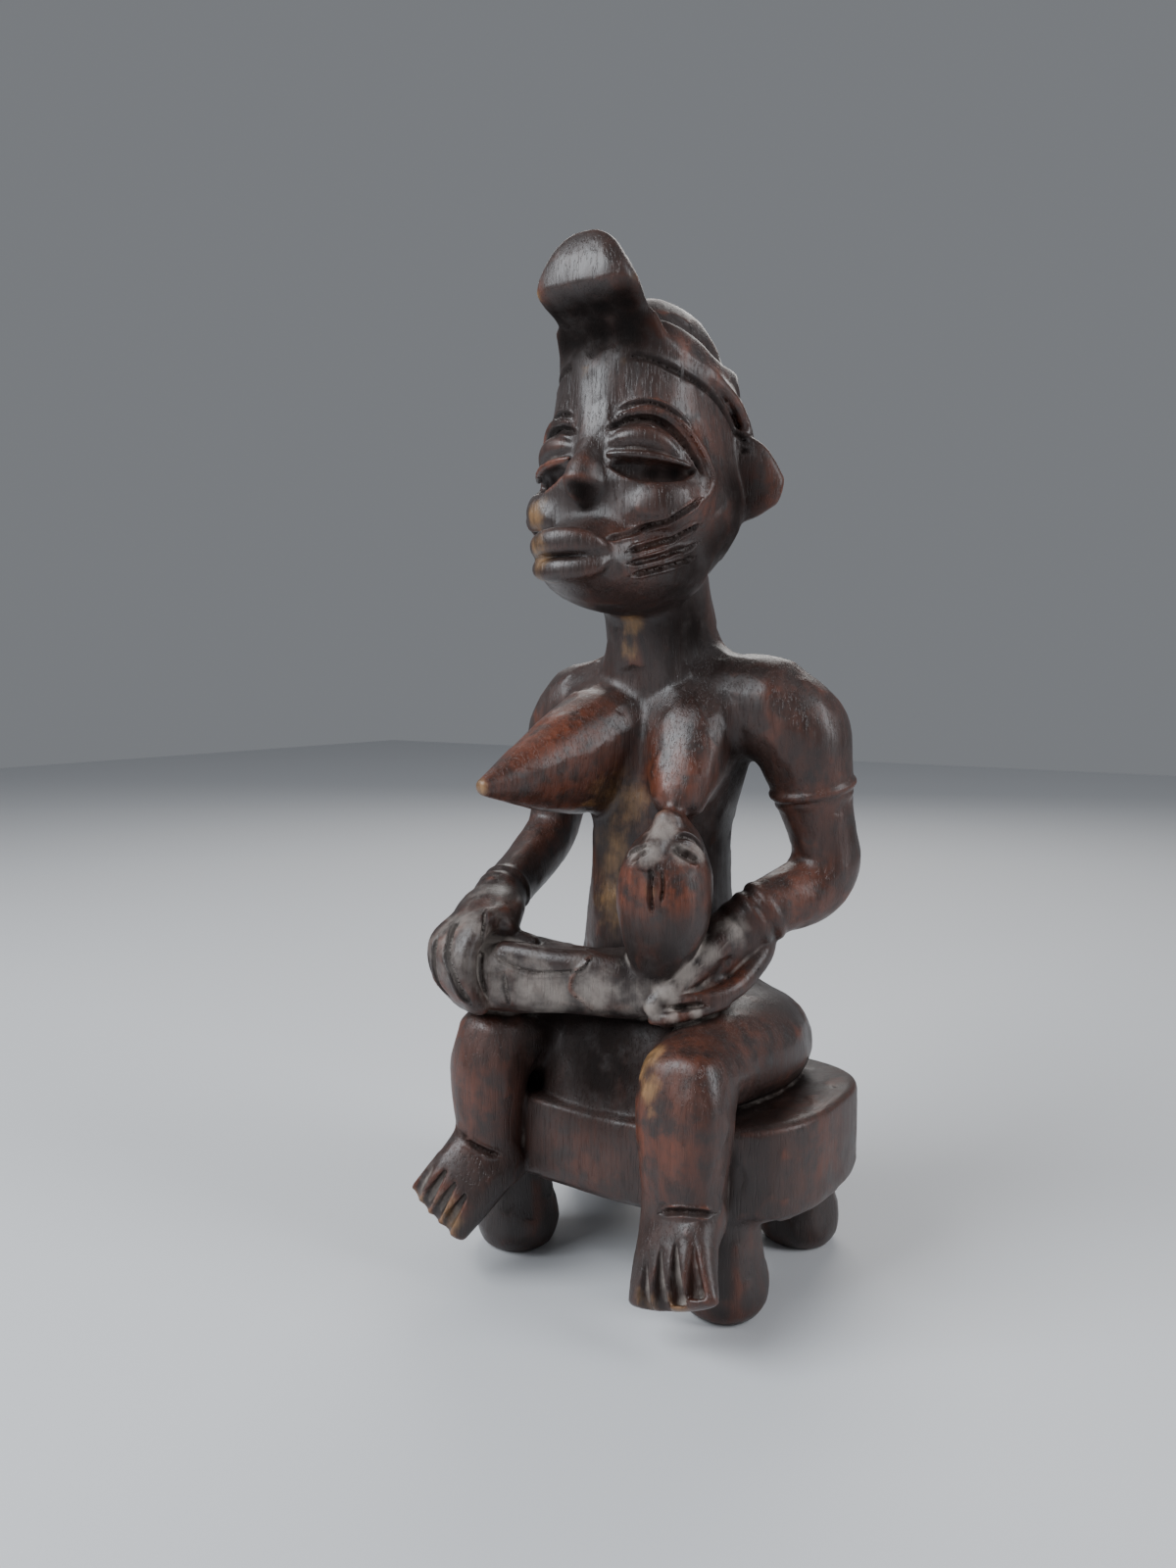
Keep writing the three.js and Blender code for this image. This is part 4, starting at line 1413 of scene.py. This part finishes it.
def line_samples(lines):
    """Places, directions, half widths, depths and burrs along all knife lines."""
    parts = []
    for line in lines:
        points = np.empty(len(line.data.vertices) * 3)
        line.data.vertices.foreach_get("co", points)
        points = points.reshape(-1, 3) / MM
        along = np.gradient(points, axis=0)
        step = np.linalg.norm(along, axis=1)
        run = np.cumsum(step) - step[0]
        fade = np.clip(np.minimum(run, run[-1] - run) / line["taper"], 0.02, 1)
        width = line["width"] * (0.5 + 0.5 * fade)
        depth = line["depth"] * fade
        burr = np.full(len(points), line["burr"])
        parts.append((points, along / step[:, None], width, depth, burr))
    return [np.concatenate(column) for column in zip(*parts)]


def near_places(points, places, reach):
    """Which points lie within reach of a place."""
    home = nearest_of(points, places, LINE_REACH)
    return np.linalg.norm(points - places[home], axis=1) < reach


def cut_lines(surface, lines):
    """Cuts the knife lines: points near a line move onto it, so that the cut's bottom stays sharp."""
    places, along, width, depth, burr = line_samples(lines)
    normals = surface.normals()
    near = nearest_of(places, surface.points, SURFACE_REACH)
    up = normals[near]
    for _ in range(3):
        up[1:-1] = (up[:-2] + 2 * up[1:-1] + up[2:]) / 4
    up -= along * (up * along).sum(1)[:, None]
    up /= np.linalg.norm(up, axis=1)[:, None]
    places -= up * ((places - surface.points[near]) * up).sum(1)[:, None]
    home = nearest_of(surface.points, places, LINE_REACH)
    gap = surface.points - places[home]
    forward = (gap * along[home]).sum(1)
    lift = (gap * up[home]).sum(1)
    aside = gap - along[home] * forward[:, None] - up[home] * lift[:, None]
    far = np.linalg.norm(aside, axis=1)
    facing = (normals * up[home]).sum(1)
    share = far / width[home]
    beside, ahead, above, least_facing, onto_reach = 2.2, 0.6, 1.6, 0.3, 0.33
    ours = (share < beside) & (np.abs(forward) < ahead) & (np.abs(lift) < above) & (facing > least_facing)
    onto = ours & (far < onto_reach)
    surface.points[onto] -= aside[onto]
    share[onto] = 0
    cut = depth[home] * np.clip(1 - share, 0, 1)
    burr_place, burr_width = 1.3, 0.35  # in shares of the cut's half width
    burrs = np.abs(depth[home]) * burr[home] * (depth[home] > 0)
    burrs *= np.exp(-(((share - burr_place) / burr_width) ** 2))
    ridge = -depth[home] * np.clip(1 - share**2, 0, 1) ** 2
    drop = np.where(depth[home] > 0, -cut + burrs, ridge)
    surface.points[ours] += (up[home] * drop[:, None])[ours]
    return places, width, depth


class WoodShare:
    """Share of wood around a place: a half on flat ground, more in hollows and less on edges."""

    def __init__(self, block, reach):
        self.first = block.first
        self.cell = block.cell
        share = np.clip(0.5 - block.field / block.cell, 0, 1)
        width = max(1, round(reach / block.cell))
        for axis in range(3):
            for _ in range(2):
                share = self.mean(share, width, axis)
        self.share = share

    def mean(self, values, width, axis):
        """Running mean over width cells on each side."""
        edge = [(0, 0)] * 3
        edge[axis] = (width + 1, width)
        total = np.cumsum(np.pad(values, edge), axis=axis, dtype=np.float32)
        total = np.moveaxis(total, axis, 0)
        window = 2 * width + 1
        return np.moveaxis((total[window:] - total[:-window]) / window, 0, axis)

    def at(self, points):
        """The share at points in mm, even between the cells."""
        place = points / self.cell - self.first
        whole = np.floor(place).astype(int)
        part = place - whole
        total = np.zeros(len(points))
        for dx in (0, 1):
            for dy in (0, 1):
                for dz in (0, 1):
                    x, y, z = (whole + (dx, dy, dz)).T
                    weight = np.abs(1 - np.array((dx, dy, dz)) - part).prod(1)
                    total += self.share[x, y, z] * weight
        return total


# Rubbed, raw and dusty areas, and spots of painted shade, as x, y, z over the seat, reach in mm and
# strength.
WEAR = {
    "warm": (
        (16, -38, 238, 5, 1.0),
        (16.5, -31, 230, 5, 1.0),
        (20, -24, 224.5, 5, 1.0),
        (26, -12, 220, 6, 0.9),
        (28, -2, 212, 6, 0.8),
        (-15, -46, 239, 4, 1.0),
        (27, -24, 200, 14, 0.6),
        (29, -25, 178, 9, 0.7),
        (38, 5, 187, 10, 1.0),
        (16, -40, 166, 12, 0.5),
        (-18, -40, 112, 24, 1.0),
        (-23, -62, 98, 10, 0.8),
        (16, -24, 100, 17, 0.9),
        (50, 4, 96, 16, 0.5),
        (46, 2, 120, 16, 0.4),
        (48, 0, 64, 16, 0.8),
        (28, -39, 71, 8, 1.4),
        (13, -39, 70, 8, 1.4),
        (20, -43, 68, 8, 1.0),
        (35, -19, 42, 6, 1.1),
        (29, -28, 38.5, 5, 1.1),
        (-44, -38, 12, 14, 1.0),
        (-36, -58, 2, 18, 0.7),
        (28, -58, 4, 20, 1.0),
        (34, -48, 24, 14, 0.7),
        (50, -24, 26, 16, 0.6),
        (0, -44, -14, 16, 0.5),
        (62, -10, -8, 16, 0.7),
        (56, 28, -10, 16, 0.4),
        (-50, -40, -12, 14, 0.7),
        (-44, -2, 78, 14, 0.5),
        (-30, 0, 118, 12, 0.5),
    ),
    "raw": (
        (-23.4, -64.5, 98.4, 3.4, 1.0),
        (-4, -41, 219, 4, 0.8),
        (3, -41, 219.5, 3.4, 0.7),
        (9, -38, 219, 3, 0.6),
        (15, -42, 240, 3.4, 0.5),
        (-15.6, -46.5, 238.5, 2.6, 0.9),
        (0, -50, 192, 3.5, 0.35),
        (-19, -42, 179, 6, 0.85),
        (-6, -56, 165, 7, 0.8),
        (-6, -56, 158, 6, 0.6),
        (0, -17, 147, 5, 1.0),
        (-3, -16, 139, 5, 0.8),
        (4, -24, 106, 9, 0.5),
        (0, -25, 92, 12, 0.9),
        (-6, -24, 78, 12, 0.8),
        (-4, -26, 62, 13, 0.9),
        (26, -48.5, 25, 5, 1.0),
        (24, -49, 20, 5, 1.0),
        (28, -53, 16, 5, 0.9),
        (19, -30, 90, 5, 0.5),
        (22, -44, 70, 5, 0.5),
        (-45, -42, 16, 6, 0.7),
        (30, -55, 10, 4, 0.7),
        (24, -58, -26, 5, 0.5),
        (33, -66, -41, 7, 0.8),
        (44, -66, -41, 7, 0.8),
        (-50, -64, -36, 7, 0.7),
        (-38, -62, -36, 7, 0.7),
        (-48, -42, -4, 8, 0.6),
        (-20, -46, -4, 8, 0.4),
    ),
    # spots of painted shade: under the crest, nose, jaw, arms and seat, in the eye hollows, on the head's
    # shaded left side and in the lap
    "painted_shade": (
        (0, -36, 229, 11, 1.0),
        (-10, -35, 229, 11, 1.0),
        (10, -35, 229, 11, 1.0),
        (1, -48, 182, 4.6, 1.0),
        (0, -44, 179.5, 3, 0.8),
        (16, -34, 188, 4, 1.2),
        (21, -30, 188, 4, 1.2),
        (25, -25, 188.5, 4, 1.0),
        (-16, -34, 188, 4, 1.2),
        (-21, -30, 188, 4, 1.2),
        (31, -8, 184, 11, 0.9),
        (29, -7, 172, 10, 0.9),
        (0, -30, 148, 14, 0.7),
        (16, -8, 146, 12, 0.9),
        (24, -24, 158, 12, 0.8),
        (31, -12, 168, 13, 0.8),
        (2, -38, 14, 20, 1.0),
        (-12, -41, 234, 6.5, 1.0),
        (-4, -42, 234, 6.5, 1.0),
        (4, -42, 234, 6.5, 1.0),
        (12, -41, 234, 6.5, 1.0),
        (29, -34.5, 80, 2.2, 1.0),
        (16, -40.5, 78.5, 1.6, 0.7),
        (24, -10, 78, 16, 0.7),
        (32, 0, 100, 14, 0.8),
        (-28, -4, 90, 16, 0.7),
        (18, -38, 50, 12, 0.7),
        (-18, -40, 14, 14, 0.7),
        (46, -20, 12, 12, 0.5),
        (0, 0, -34, 40, 0.6),
    ),
    "dusty": (
        (-30, -50, 40, 15, 0.75),
        (-14, -46, 36, 14, 0.85),
        (2, -40, 38, 13, 0.8),
        (-38, -52, 48, 16, 0.85),
        (-44, -38, 60, 12, 0.55),
        (14, -36, 36, 10, 0.7),
        (26, -24, 44, 12, 0.4),
        (20, -35, 87, 8, 0.9),
        (20, -41, 80.5, 6, 0.9),
        (27, -35, 80, 5, 0.9),
        (31, -30, 80, 5, 0.8),
        (13, -39, 79.5, 5, 0.8),
        (35, -17, 55, 6, 0.9),
        (31.5, -24.5, 49.5, 5, 1.0),
        (27.5, -31.5, 43.5, 5, 1.0),
        (23.5, -36.5, 39, 5, 1.0),
        (20.5, -39.5, 34, 4.5, 1.0),
        (32, -33.5, 33.5, 3, 0.9),
        (26.5, -38, 32, 3.5, 0.9),
        (36, -22, 37, 4, 0.6),
        (19, -34, 56, 9, 0.5),
        (34, -12, 54, 10, 0.4),
        (-44, -62, -30, 11, 0.6),
        (38, -62, -34, 12, 0.4),
    ),
}


def wear_at(points, spots):
    """How strongly the spots of one kind reach each point, from 0 to 1."""
    strength = np.zeros(len(points))
    for spot, (x, y, z, reach) in zip(spots, on_seat([spot[:4] for spot in spots])):
        far = ((points - [x, y + AHEAD, z]) ** 2).sum(1) / reach**2
        strength = np.maximum(strength, spot[4] * np.exp(-far))
    return strength


class CARVING_OT_block(bpy.types.Operator):
    """Fuse the rough forms into one carving, cut its facets and lines, and give it the wood"""

    bl_idname = "carving.block"
    bl_label = "Carving"

    def execute(self, context):
        sizes = context.scene.carving_sizes
        forms = list(bpy.data.collections[FORMS].objects)
        cell = sizes.detail / MM * 1.0
        block, points, quads = fuse(forms, cell)
        surface = Surface(points, quads)
        surface.smooth(2)
        knife_facets(surface, sizes.facet_size / MM, sizes.facet_depth / MM)
        surface = self.thinned(surface, sizes.triangles)
        lines = list(bpy.data.collections[LINES].objects)
        places = line_samples(lines)[0]
        for _ in range(FINE_ROUNDS):
            surface.split(near_places(surface.points, places, FINE_STRIP), FINE_EDGE * cell)
        surface.smooth(1, near_places(surface.points, places, FINE_STRIP).astype(float))
        places, width, depth = cut_lines(surface, lines)
        mesh = new_mesh("carved_figure", surface.points, surface.faces)
        piece = bpy.data.objects.new("carved_figure", mesh)
        bpy.context.scene.collection.objects.link(piece)
        self.wear(piece.data, block, places, width, depth)
        for scratch in forms + lines:
            bpy.data.objects.remove(scratch)
        for name in (FORMS, LINES):
            bpy.data.collections.remove(bpy.data.collections[name])
        piece.data.materials.append(waxed_wood(context.scene.carving_wood))
        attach(piece, "root")
        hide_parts(CAD_NODE)
        return {"FINISHED"}

    def thinned(self, surface, triangles):
        """The surface with fewer triangles where it is plain."""
        dense = bpy.data.objects.new("dense", new_mesh("dense", surface.points, surface.faces))
        bpy.context.scene.collection.objects.link(dense)
        share = triangles / (2 * len(surface.faces))
        if share < 1:
            thin = dense.modifiers.new("Thin out", "DECIMATE")
            thin.ratio = share
        depsgraph = bpy.context.evaluated_depsgraph_get()
        mesh = bpy.data.meshes.new_from_object(dense.evaluated_get(depsgraph))
        mesh.calc_loop_triangles()
        corners = np.empty(len(mesh.loop_triangles) * 3, np.int32)
        mesh.loop_triangles.foreach_get("vertices", corners)
        points = np.empty(len(mesh.vertices) * 3)
        mesh.vertices.foreach_get("co", points)
        bpy.data.objects.remove(dense)
        bpy.data.meshes.remove(mesh)
        return Surface(*main_body(points.reshape(-1, 3) / MM, corners.reshape(-1, 3).astype(np.int64)))

    def wear(self, mesh, block, places, width, depth):
        """Gives each point its hollows, edges, worn areas and painted shade of knife lines and spots, for
        the material to read.
        """
        points = np.empty(len(mesh.vertices) * 3)
        mesh.vertices.foreach_get("co", points)
        points = points.reshape(-1, 3) / MM
        home = nearest_of(points, places, LINE_REACH)
        far = np.linalg.norm(points - places[home], axis=1)
        shade_end = 1.4  # half widths from a cut's middle at which its shade ends
        full_depth = 0.9  # mm from which a cut is as dark as the deepest
        darkness = np.clip(depth[home] / full_depth, 0, 1)
        values = {
            "fine_share": WoodShare(block, FINE_REACH).at(points),
            "broad_share": WoodShare(block, BROAD_REACH).at(points),
            "line": np.clip(shade_end - far / width[home], 0, 1) * darkness,
        }
        for kind, spots in WEAR.items():
            values[kind] = wear_at(points, spots)
        for name, value in values.items():
            layer = mesh.attributes.new(name, "FLOAT", "POINT")
            layer.data.foreach_set("value", value.astype(np.float32))


def new_mesh(name, points, faces):
    """A smooth-shaded mesh from points in mm."""
    mesh = bpy.data.meshes.new(name)
    sides = faces.shape[1]
    mesh.vertices.add(len(points))
    mesh.vertices.foreach_set("co", (points * MM).ravel())
    mesh.loops.add(faces.size)
    mesh.loops.foreach_set("vertex_index", faces.ravel())
    mesh.polygons.add(len(faces))
    mesh.polygons.foreach_set("loop_start", np.arange(0, faces.size, sides))
    mesh.polygons.foreach_set("loop_total", np.full(len(faces), sides))
    mesh.update(calc_edges=True)
    mesh.shade_smooth()
    return mesh


class Nodes:
    """Adds nodes to a material and links their sockets by name."""

    def __init__(self, tree):
        self.tree = tree

    def put(self, socket, value):
        """Links another node's output to the socket, or sets its value."""
        if isinstance(value, bpy.types.NodeSocket):
            self.tree.links.new(value, socket)
        else:
            socket.default_value = value

    def add(self, kind, inputs, **settings):
        node = self.tree.nodes.new(kind)
        for name, value in settings.items():
            setattr(node, name, value)
        for name, value in inputs.items():
            self.put(node.inputs[name], value)
        return node

    def attribute(self, name):
        return self.add("ShaderNodeAttribute", {}, attribute_name=name).outputs["Fac"]

    def maths(self, operation, *values):
        node = self.add("ShaderNodeMath", dict(enumerate(values)), operation=operation)
        return node.outputs[0]

    def ramp(self, value, low, high, start=0.0, end=1.0):
        """start below low, end above high and a smooth step between them."""
        inputs = {"Value": value, "From Min": low, "From Max": high, "To Min": start, "To Max": end}
        node = self.add("ShaderNodeMapRange", inputs, interpolation_type="SMOOTHSTEP")
        return node.outputs["Result"]

    def noise(self, place, scale, detail, roughness):
        inputs = {"Vector": place, "Scale": scale, "Detail": detail, "Roughness": roughness}
        return self.add("ShaderNodeTexNoise", inputs).outputs["Fac"]

    def stretched(self, place, scale):
        return self.add("ShaderNodeMapping", {"Vector": place, "Scale": scale}).outputs["Vector"]

    def mix(self, share, first, second):
        """A colour from first to second by share; a mix node has its colours at these numbers."""
        first_colour, second_colour, mixed_colour = 6, 7, 2
        node = self.add("ShaderNodeMix", {}, data_type="RGBA")
        self.put(node.inputs["Factor"], share)
        self.put(node.inputs[first_colour], first)
        self.put(node.inputs[second_colour], second)
        return node.outputs[mixed_colour]


def toned(colour, factor):
    """A colour made lighter or darker by a factor."""
    return [value * factor for value in colour[:3]] + [1]


def waxed_wood(colours):
    """Dark stained wood: red-brown on rubbed edges, ochre where worn, dusty in hollows, with painted
    shade in hollows, knife lines and shaded spots.
    """
    material = bpy.data.materials.new("waxed wood")
    material.use_nodes = True
    nodes = Nodes(material.node_tree)
    shader = material.node_tree.nodes["Principled BSDF"]
    place = nodes.add("ShaderNodeTexCoord", {}).outputs["Object"]
    grain = nodes.noise(nodes.stretched(place, (1, 1, 0.1)), 420, 5, 0.62)
    pores = nodes.noise(nodes.stretched(place, (1, 1, 0.07)), 1500, 2, 0.5)
    patches = nodes.noise(place, 62, 4, 0.6)
    blots = nodes.noise(place, 170, 4, 0.6)
    grit = nodes.noise(place, 1500, 3, 0.7)
    fine, broad = nodes.attribute("fine_share"), nodes.attribute("broad_share")
    edge = nodes.ramp(fine, 0.47, 0.33)
    hollow = nodes.ramp(fine, 0.53, 0.68)
    deep = nodes.ramp(broad, 0.52, 0.78)
    line = nodes.attribute("line")

    dark = nodes.mix(nodes.ramp(grain, 0.3, 0.72), colours.dark, toned(colours.dark, 1.6))
    rubbed = nodes.maths("MULTIPLY", edge, nodes.ramp(patches, 0.38, 0.62))
    warm = nodes.maths("MULTIPLY", nodes.attribute("warm"), nodes.ramp(blots, 0.30, 0.62))
    warm = nodes.maths("MAXIMUM", nodes.maths("MULTIPLY", rubbed, 0.8), warm)
    streaks = nodes.noise(nodes.stretched(place, (1, 1, 0.35)), 48, 5, 0.65)
    warm = nodes.maths("MAXIMUM", warm, nodes.ramp(streaks, 0.50, 0.78, 0.0, 0.5))
    warm_colour = nodes.mix(nodes.ramp(grain, 0.3, 0.7), toned(colours.warm, 0.55), colours.warm)
    colour = nodes.mix(warm, dark, warm_colour)
    # Painted shade: deep hollows, knife lines and the spots of painted shade turn towards near black, and
    # their gloss is lowered
    painted_shade = nodes.maths("MULTIPLY", nodes.attribute("painted_shade"), nodes.ramp(blots, 0.2, 0.6, 0.6, 1.0))
    deep = nodes.maths("MULTIPLY", deep, 0.75)
    shade = nodes.maths("MAXIMUM", deep, nodes.maths("MULTIPLY", line, 0.8))
    shade = nodes.maths("MAXIMUM", shade, painted_shade)
    colour = nodes.mix(shade, colour, PAINTED_SHADE_COLOUR)
    uneven = nodes.maths("MULTIPLY", nodes.ramp(blots, 0.3, 0.7), 0.3)
    raw = nodes.maths("ADD", nodes.attribute("raw"), nodes.maths("MULTIPLY", rubbed, 0.3))
    raw = nodes.maths("ADD", raw, uneven)
    raw = nodes.maths("MULTIPLY", nodes.ramp(raw, 0.50, 1.15), 0.85)
    raw = nodes.maths("MULTIPLY", raw, nodes.ramp(line, 0.1, 0.8, 1.0, 0.2))
    raw_colour = nodes.mix(nodes.ramp(grain, 0.3, 0.7), toned(colours.raw, 0.5), colours.raw)
    colour = nodes.mix(raw, colour, raw_colour)
    dust = nodes.maths("ADD", nodes.attribute("dusty"), nodes.maths("MULTIPLY", hollow, 0.45))
    dust = nodes.maths("ADD", dust, uneven)
    dust = nodes.maths("MULTIPLY", nodes.ramp(dust, 0.50, 1.15), 0.75)
    specks = nodes.maths("MULTIPLY", nodes.ramp(grit, 0.70, 0.76), nodes.ramp(patches, 0.4, 0.65))
    dust = nodes.maths("MAXIMUM", dust, nodes.maths("MULTIPLY", specks, 0.5))
    dust = nodes.maths("MULTIPLY", dust, nodes.ramp(line, 0.2, 0.9, 1.0, 0.1))
    dust = nodes.maths("MULTIPLY", dust, nodes.ramp(painted_shade, 0.3, 0.9, 1.0, 0.1))
    colour = nodes.mix(dust, colour, colours.dust)
    nodes.put(shader.inputs["Base Color"], colour)

    dull = nodes.maths("MAXIMUM", dust, shade)
    gloss = nodes.ramp(patches, 0.3, 0.7, 0.35, 0.50)
    gloss = nodes.maths("ADD", gloss, nodes.maths("MULTIPLY", dull, 0.35))
    gloss = nodes.maths("ADD", gloss, nodes.ramp(grain, 0.3, 0.7, -0.05, 0.06))
    nodes.put(shader.inputs["Roughness"], gloss)
    height = nodes.maths("MULTIPLY", nodes.ramp(pores, 0.36, 0.46), 0.5)
    height = nodes.maths("ADD", height, nodes.maths("MULTIPLY", grain, 0.5))
    height = nodes.maths("ADD", height, nodes.maths("MULTIPLY", nodes.noise(place, 900, 4, 0.6), 0.35))
    bump = nodes.add("ShaderNodeBump", {"Height": height, "Strength": 0.5, "Distance": 0.0004})
    nodes.put(shader.inputs["Normal"], bump.outputs["Normal"])
    nodes.put(shader.inputs["Specular IOR Level"], nodes.ramp(shade, 0.1, 0.9, 0.48, 0.12))
    nodes.put(shader.inputs["Coat Weight"], nodes.ramp(dull, 0.05, 0.6, 0.2, 0.0))
    shader.inputs["Coat Roughness"].default_value = COAT_ROUGHNESS
    return material


class CARVING_OT_stage(bpy.types.Operator):
    """Add the pale floor, the soft light and the camera"""

    bl_idname = "carving.stage"
    bl_label = "Stage"

    def execute(self, context):
        look = context.scene.carving_stage
        self.floor(look.floor)
        self.lights(look.key_light)
        self.camera(context.scene)
        return {"FINISHED"}

    def floor(self, colour):
        bpy.ops.object.select_all(action="DESELECT")
        bpy.ops.mesh.primitive_plane_add(size=4, location=(0, 0, 0))
        floor = bpy.context.object
        floor.name = "floor"
        material = bpy.data.materials.new("pale floor")
        material.use_nodes = True
        shader = material.node_tree.nodes["Principled BSDF"]
        shader.inputs["Base Color"].default_value = colour
        shader.inputs["Roughness"].default_value = 0.55
        floor.data.materials.append(material)

    def lights(self, power):
        def soft(name, place, target, size, watts, colour):
            light = bpy.data.lights.new(name, "AREA")
            light.shape = "RECTANGLE"
            light.size, light.size_y = size
            light.energy = watts
            light.color = colour
            lamp = bpy.data.objects.new(name, light)
            lamp.location = place
            aim = Vector(target) - Vector(place)
            lamp.rotation_euler = aim.to_track_quat("-Z", "Y").to_euler()
            bpy.context.scene.collection.objects.link(lamp)

        soft("key light", (-0.45, -0.75, 0.8), (0, 0, 0.17), (0.8, 0.7), power, (0.90, 0.95, 1.0))
        soft("side light", (0.9, 0.15, 0.6), (0, 0, 0.15), (0.4, 0.8), power * 0.42, (0.93, 0.96, 1.0))
        soft("rear light", (-0.4, 0.85, 0.8), (0, 0, 0.16), (0.8, 0.5), power * 0.28, (1.0, 0.98, 0.95))
        world = bpy.data.worlds.new("studio")
        world.use_nodes = True
        background = world.node_tree.nodes["Background"]
        background.inputs["Color"].default_value = (0.80, 0.84, 0.90, 1)
        background.inputs["Strength"].default_value = 0.24
        bpy.context.scene.world = world

    def camera(self, scene):
        data = bpy.data.cameras.new("camera")
        data.lens = 27
        data.sensor_width = 36
        data.clip_start = 0.01
        camera = bpy.data.objects.new("camera", data)
        scene.collection.objects.link(camera)
        camera.location = (0.1921, -0.3156, 0.190)
        pitch, azimuth = math.radians(5.6), math.radians(34.0)
        camera.rotation_euler = (math.radians(90) - pitch, 0, azimuth)
        scene.camera = camera


class CARVING_PT_panel(bpy.types.Panel):
    """The steps of the carving in the sidebar"""

    bl_label = "Carving"
    bl_idname = "CARVING_PT_panel"
    bl_space_type = "VIEW_3D"
    bl_region_type = "UI"
    bl_category = "Carving"

    def draw(self, context):
        scene = context.scene
        for group, _ in SETTINGS:
            settings = getattr(scene, group)
            box = self.layout.box()
            for name in settings.__annotations__:
                box.prop(settings, name)
        for step in STEPS:
            self.layout.operator(step.bl_idname)


STEPS = (
    CARVING_OT_stool,
    CARVING_OT_body,
    CARVING_OT_arms,
    CARVING_OT_head,
    CARVING_OT_child,
    CARVING_OT_hands,
    CARVING_OT_block,
    CARVING_OT_stage,
)
SETTINGS = (
    ("carving_stool", StoolSizes),
    ("carving_sizes", CarvingSizes),
    ("carving_wood", WoodColours),
    ("carving_stage", StageLook),
)


def register():
    for _, settings in SETTINGS:
        bpy.utils.register_class(settings)
    for step in STEPS:
        bpy.utils.register_class(step)
    bpy.utils.register_class(CARVING_PT_panel)
    for name, settings in SETTINGS:
        setattr(bpy.types.Scene, name, bpy.props.PointerProperty(type=settings))


def unregister():
    for name, _ in SETTINGS:
        delattr(bpy.types.Scene, name)
    bpy.utils.unregister_class(CARVING_PT_panel)
    for step in reversed(STEPS):
        bpy.utils.unregister_class(step)
    for _, settings in reversed(SETTINGS):
        bpy.utils.unregister_class(settings)


def main():
    register()
    bpy.ops.carving.stool()
    bpy.ops.carving.body()
    bpy.ops.carving.arms()
    bpy.ops.carving.head()
    bpy.ops.carving.child()
    bpy.ops.carving.hands()
    bpy.ops.carving.block()
    bpy.ops.carving.stage()


if __name__ == "__main__":
    main()
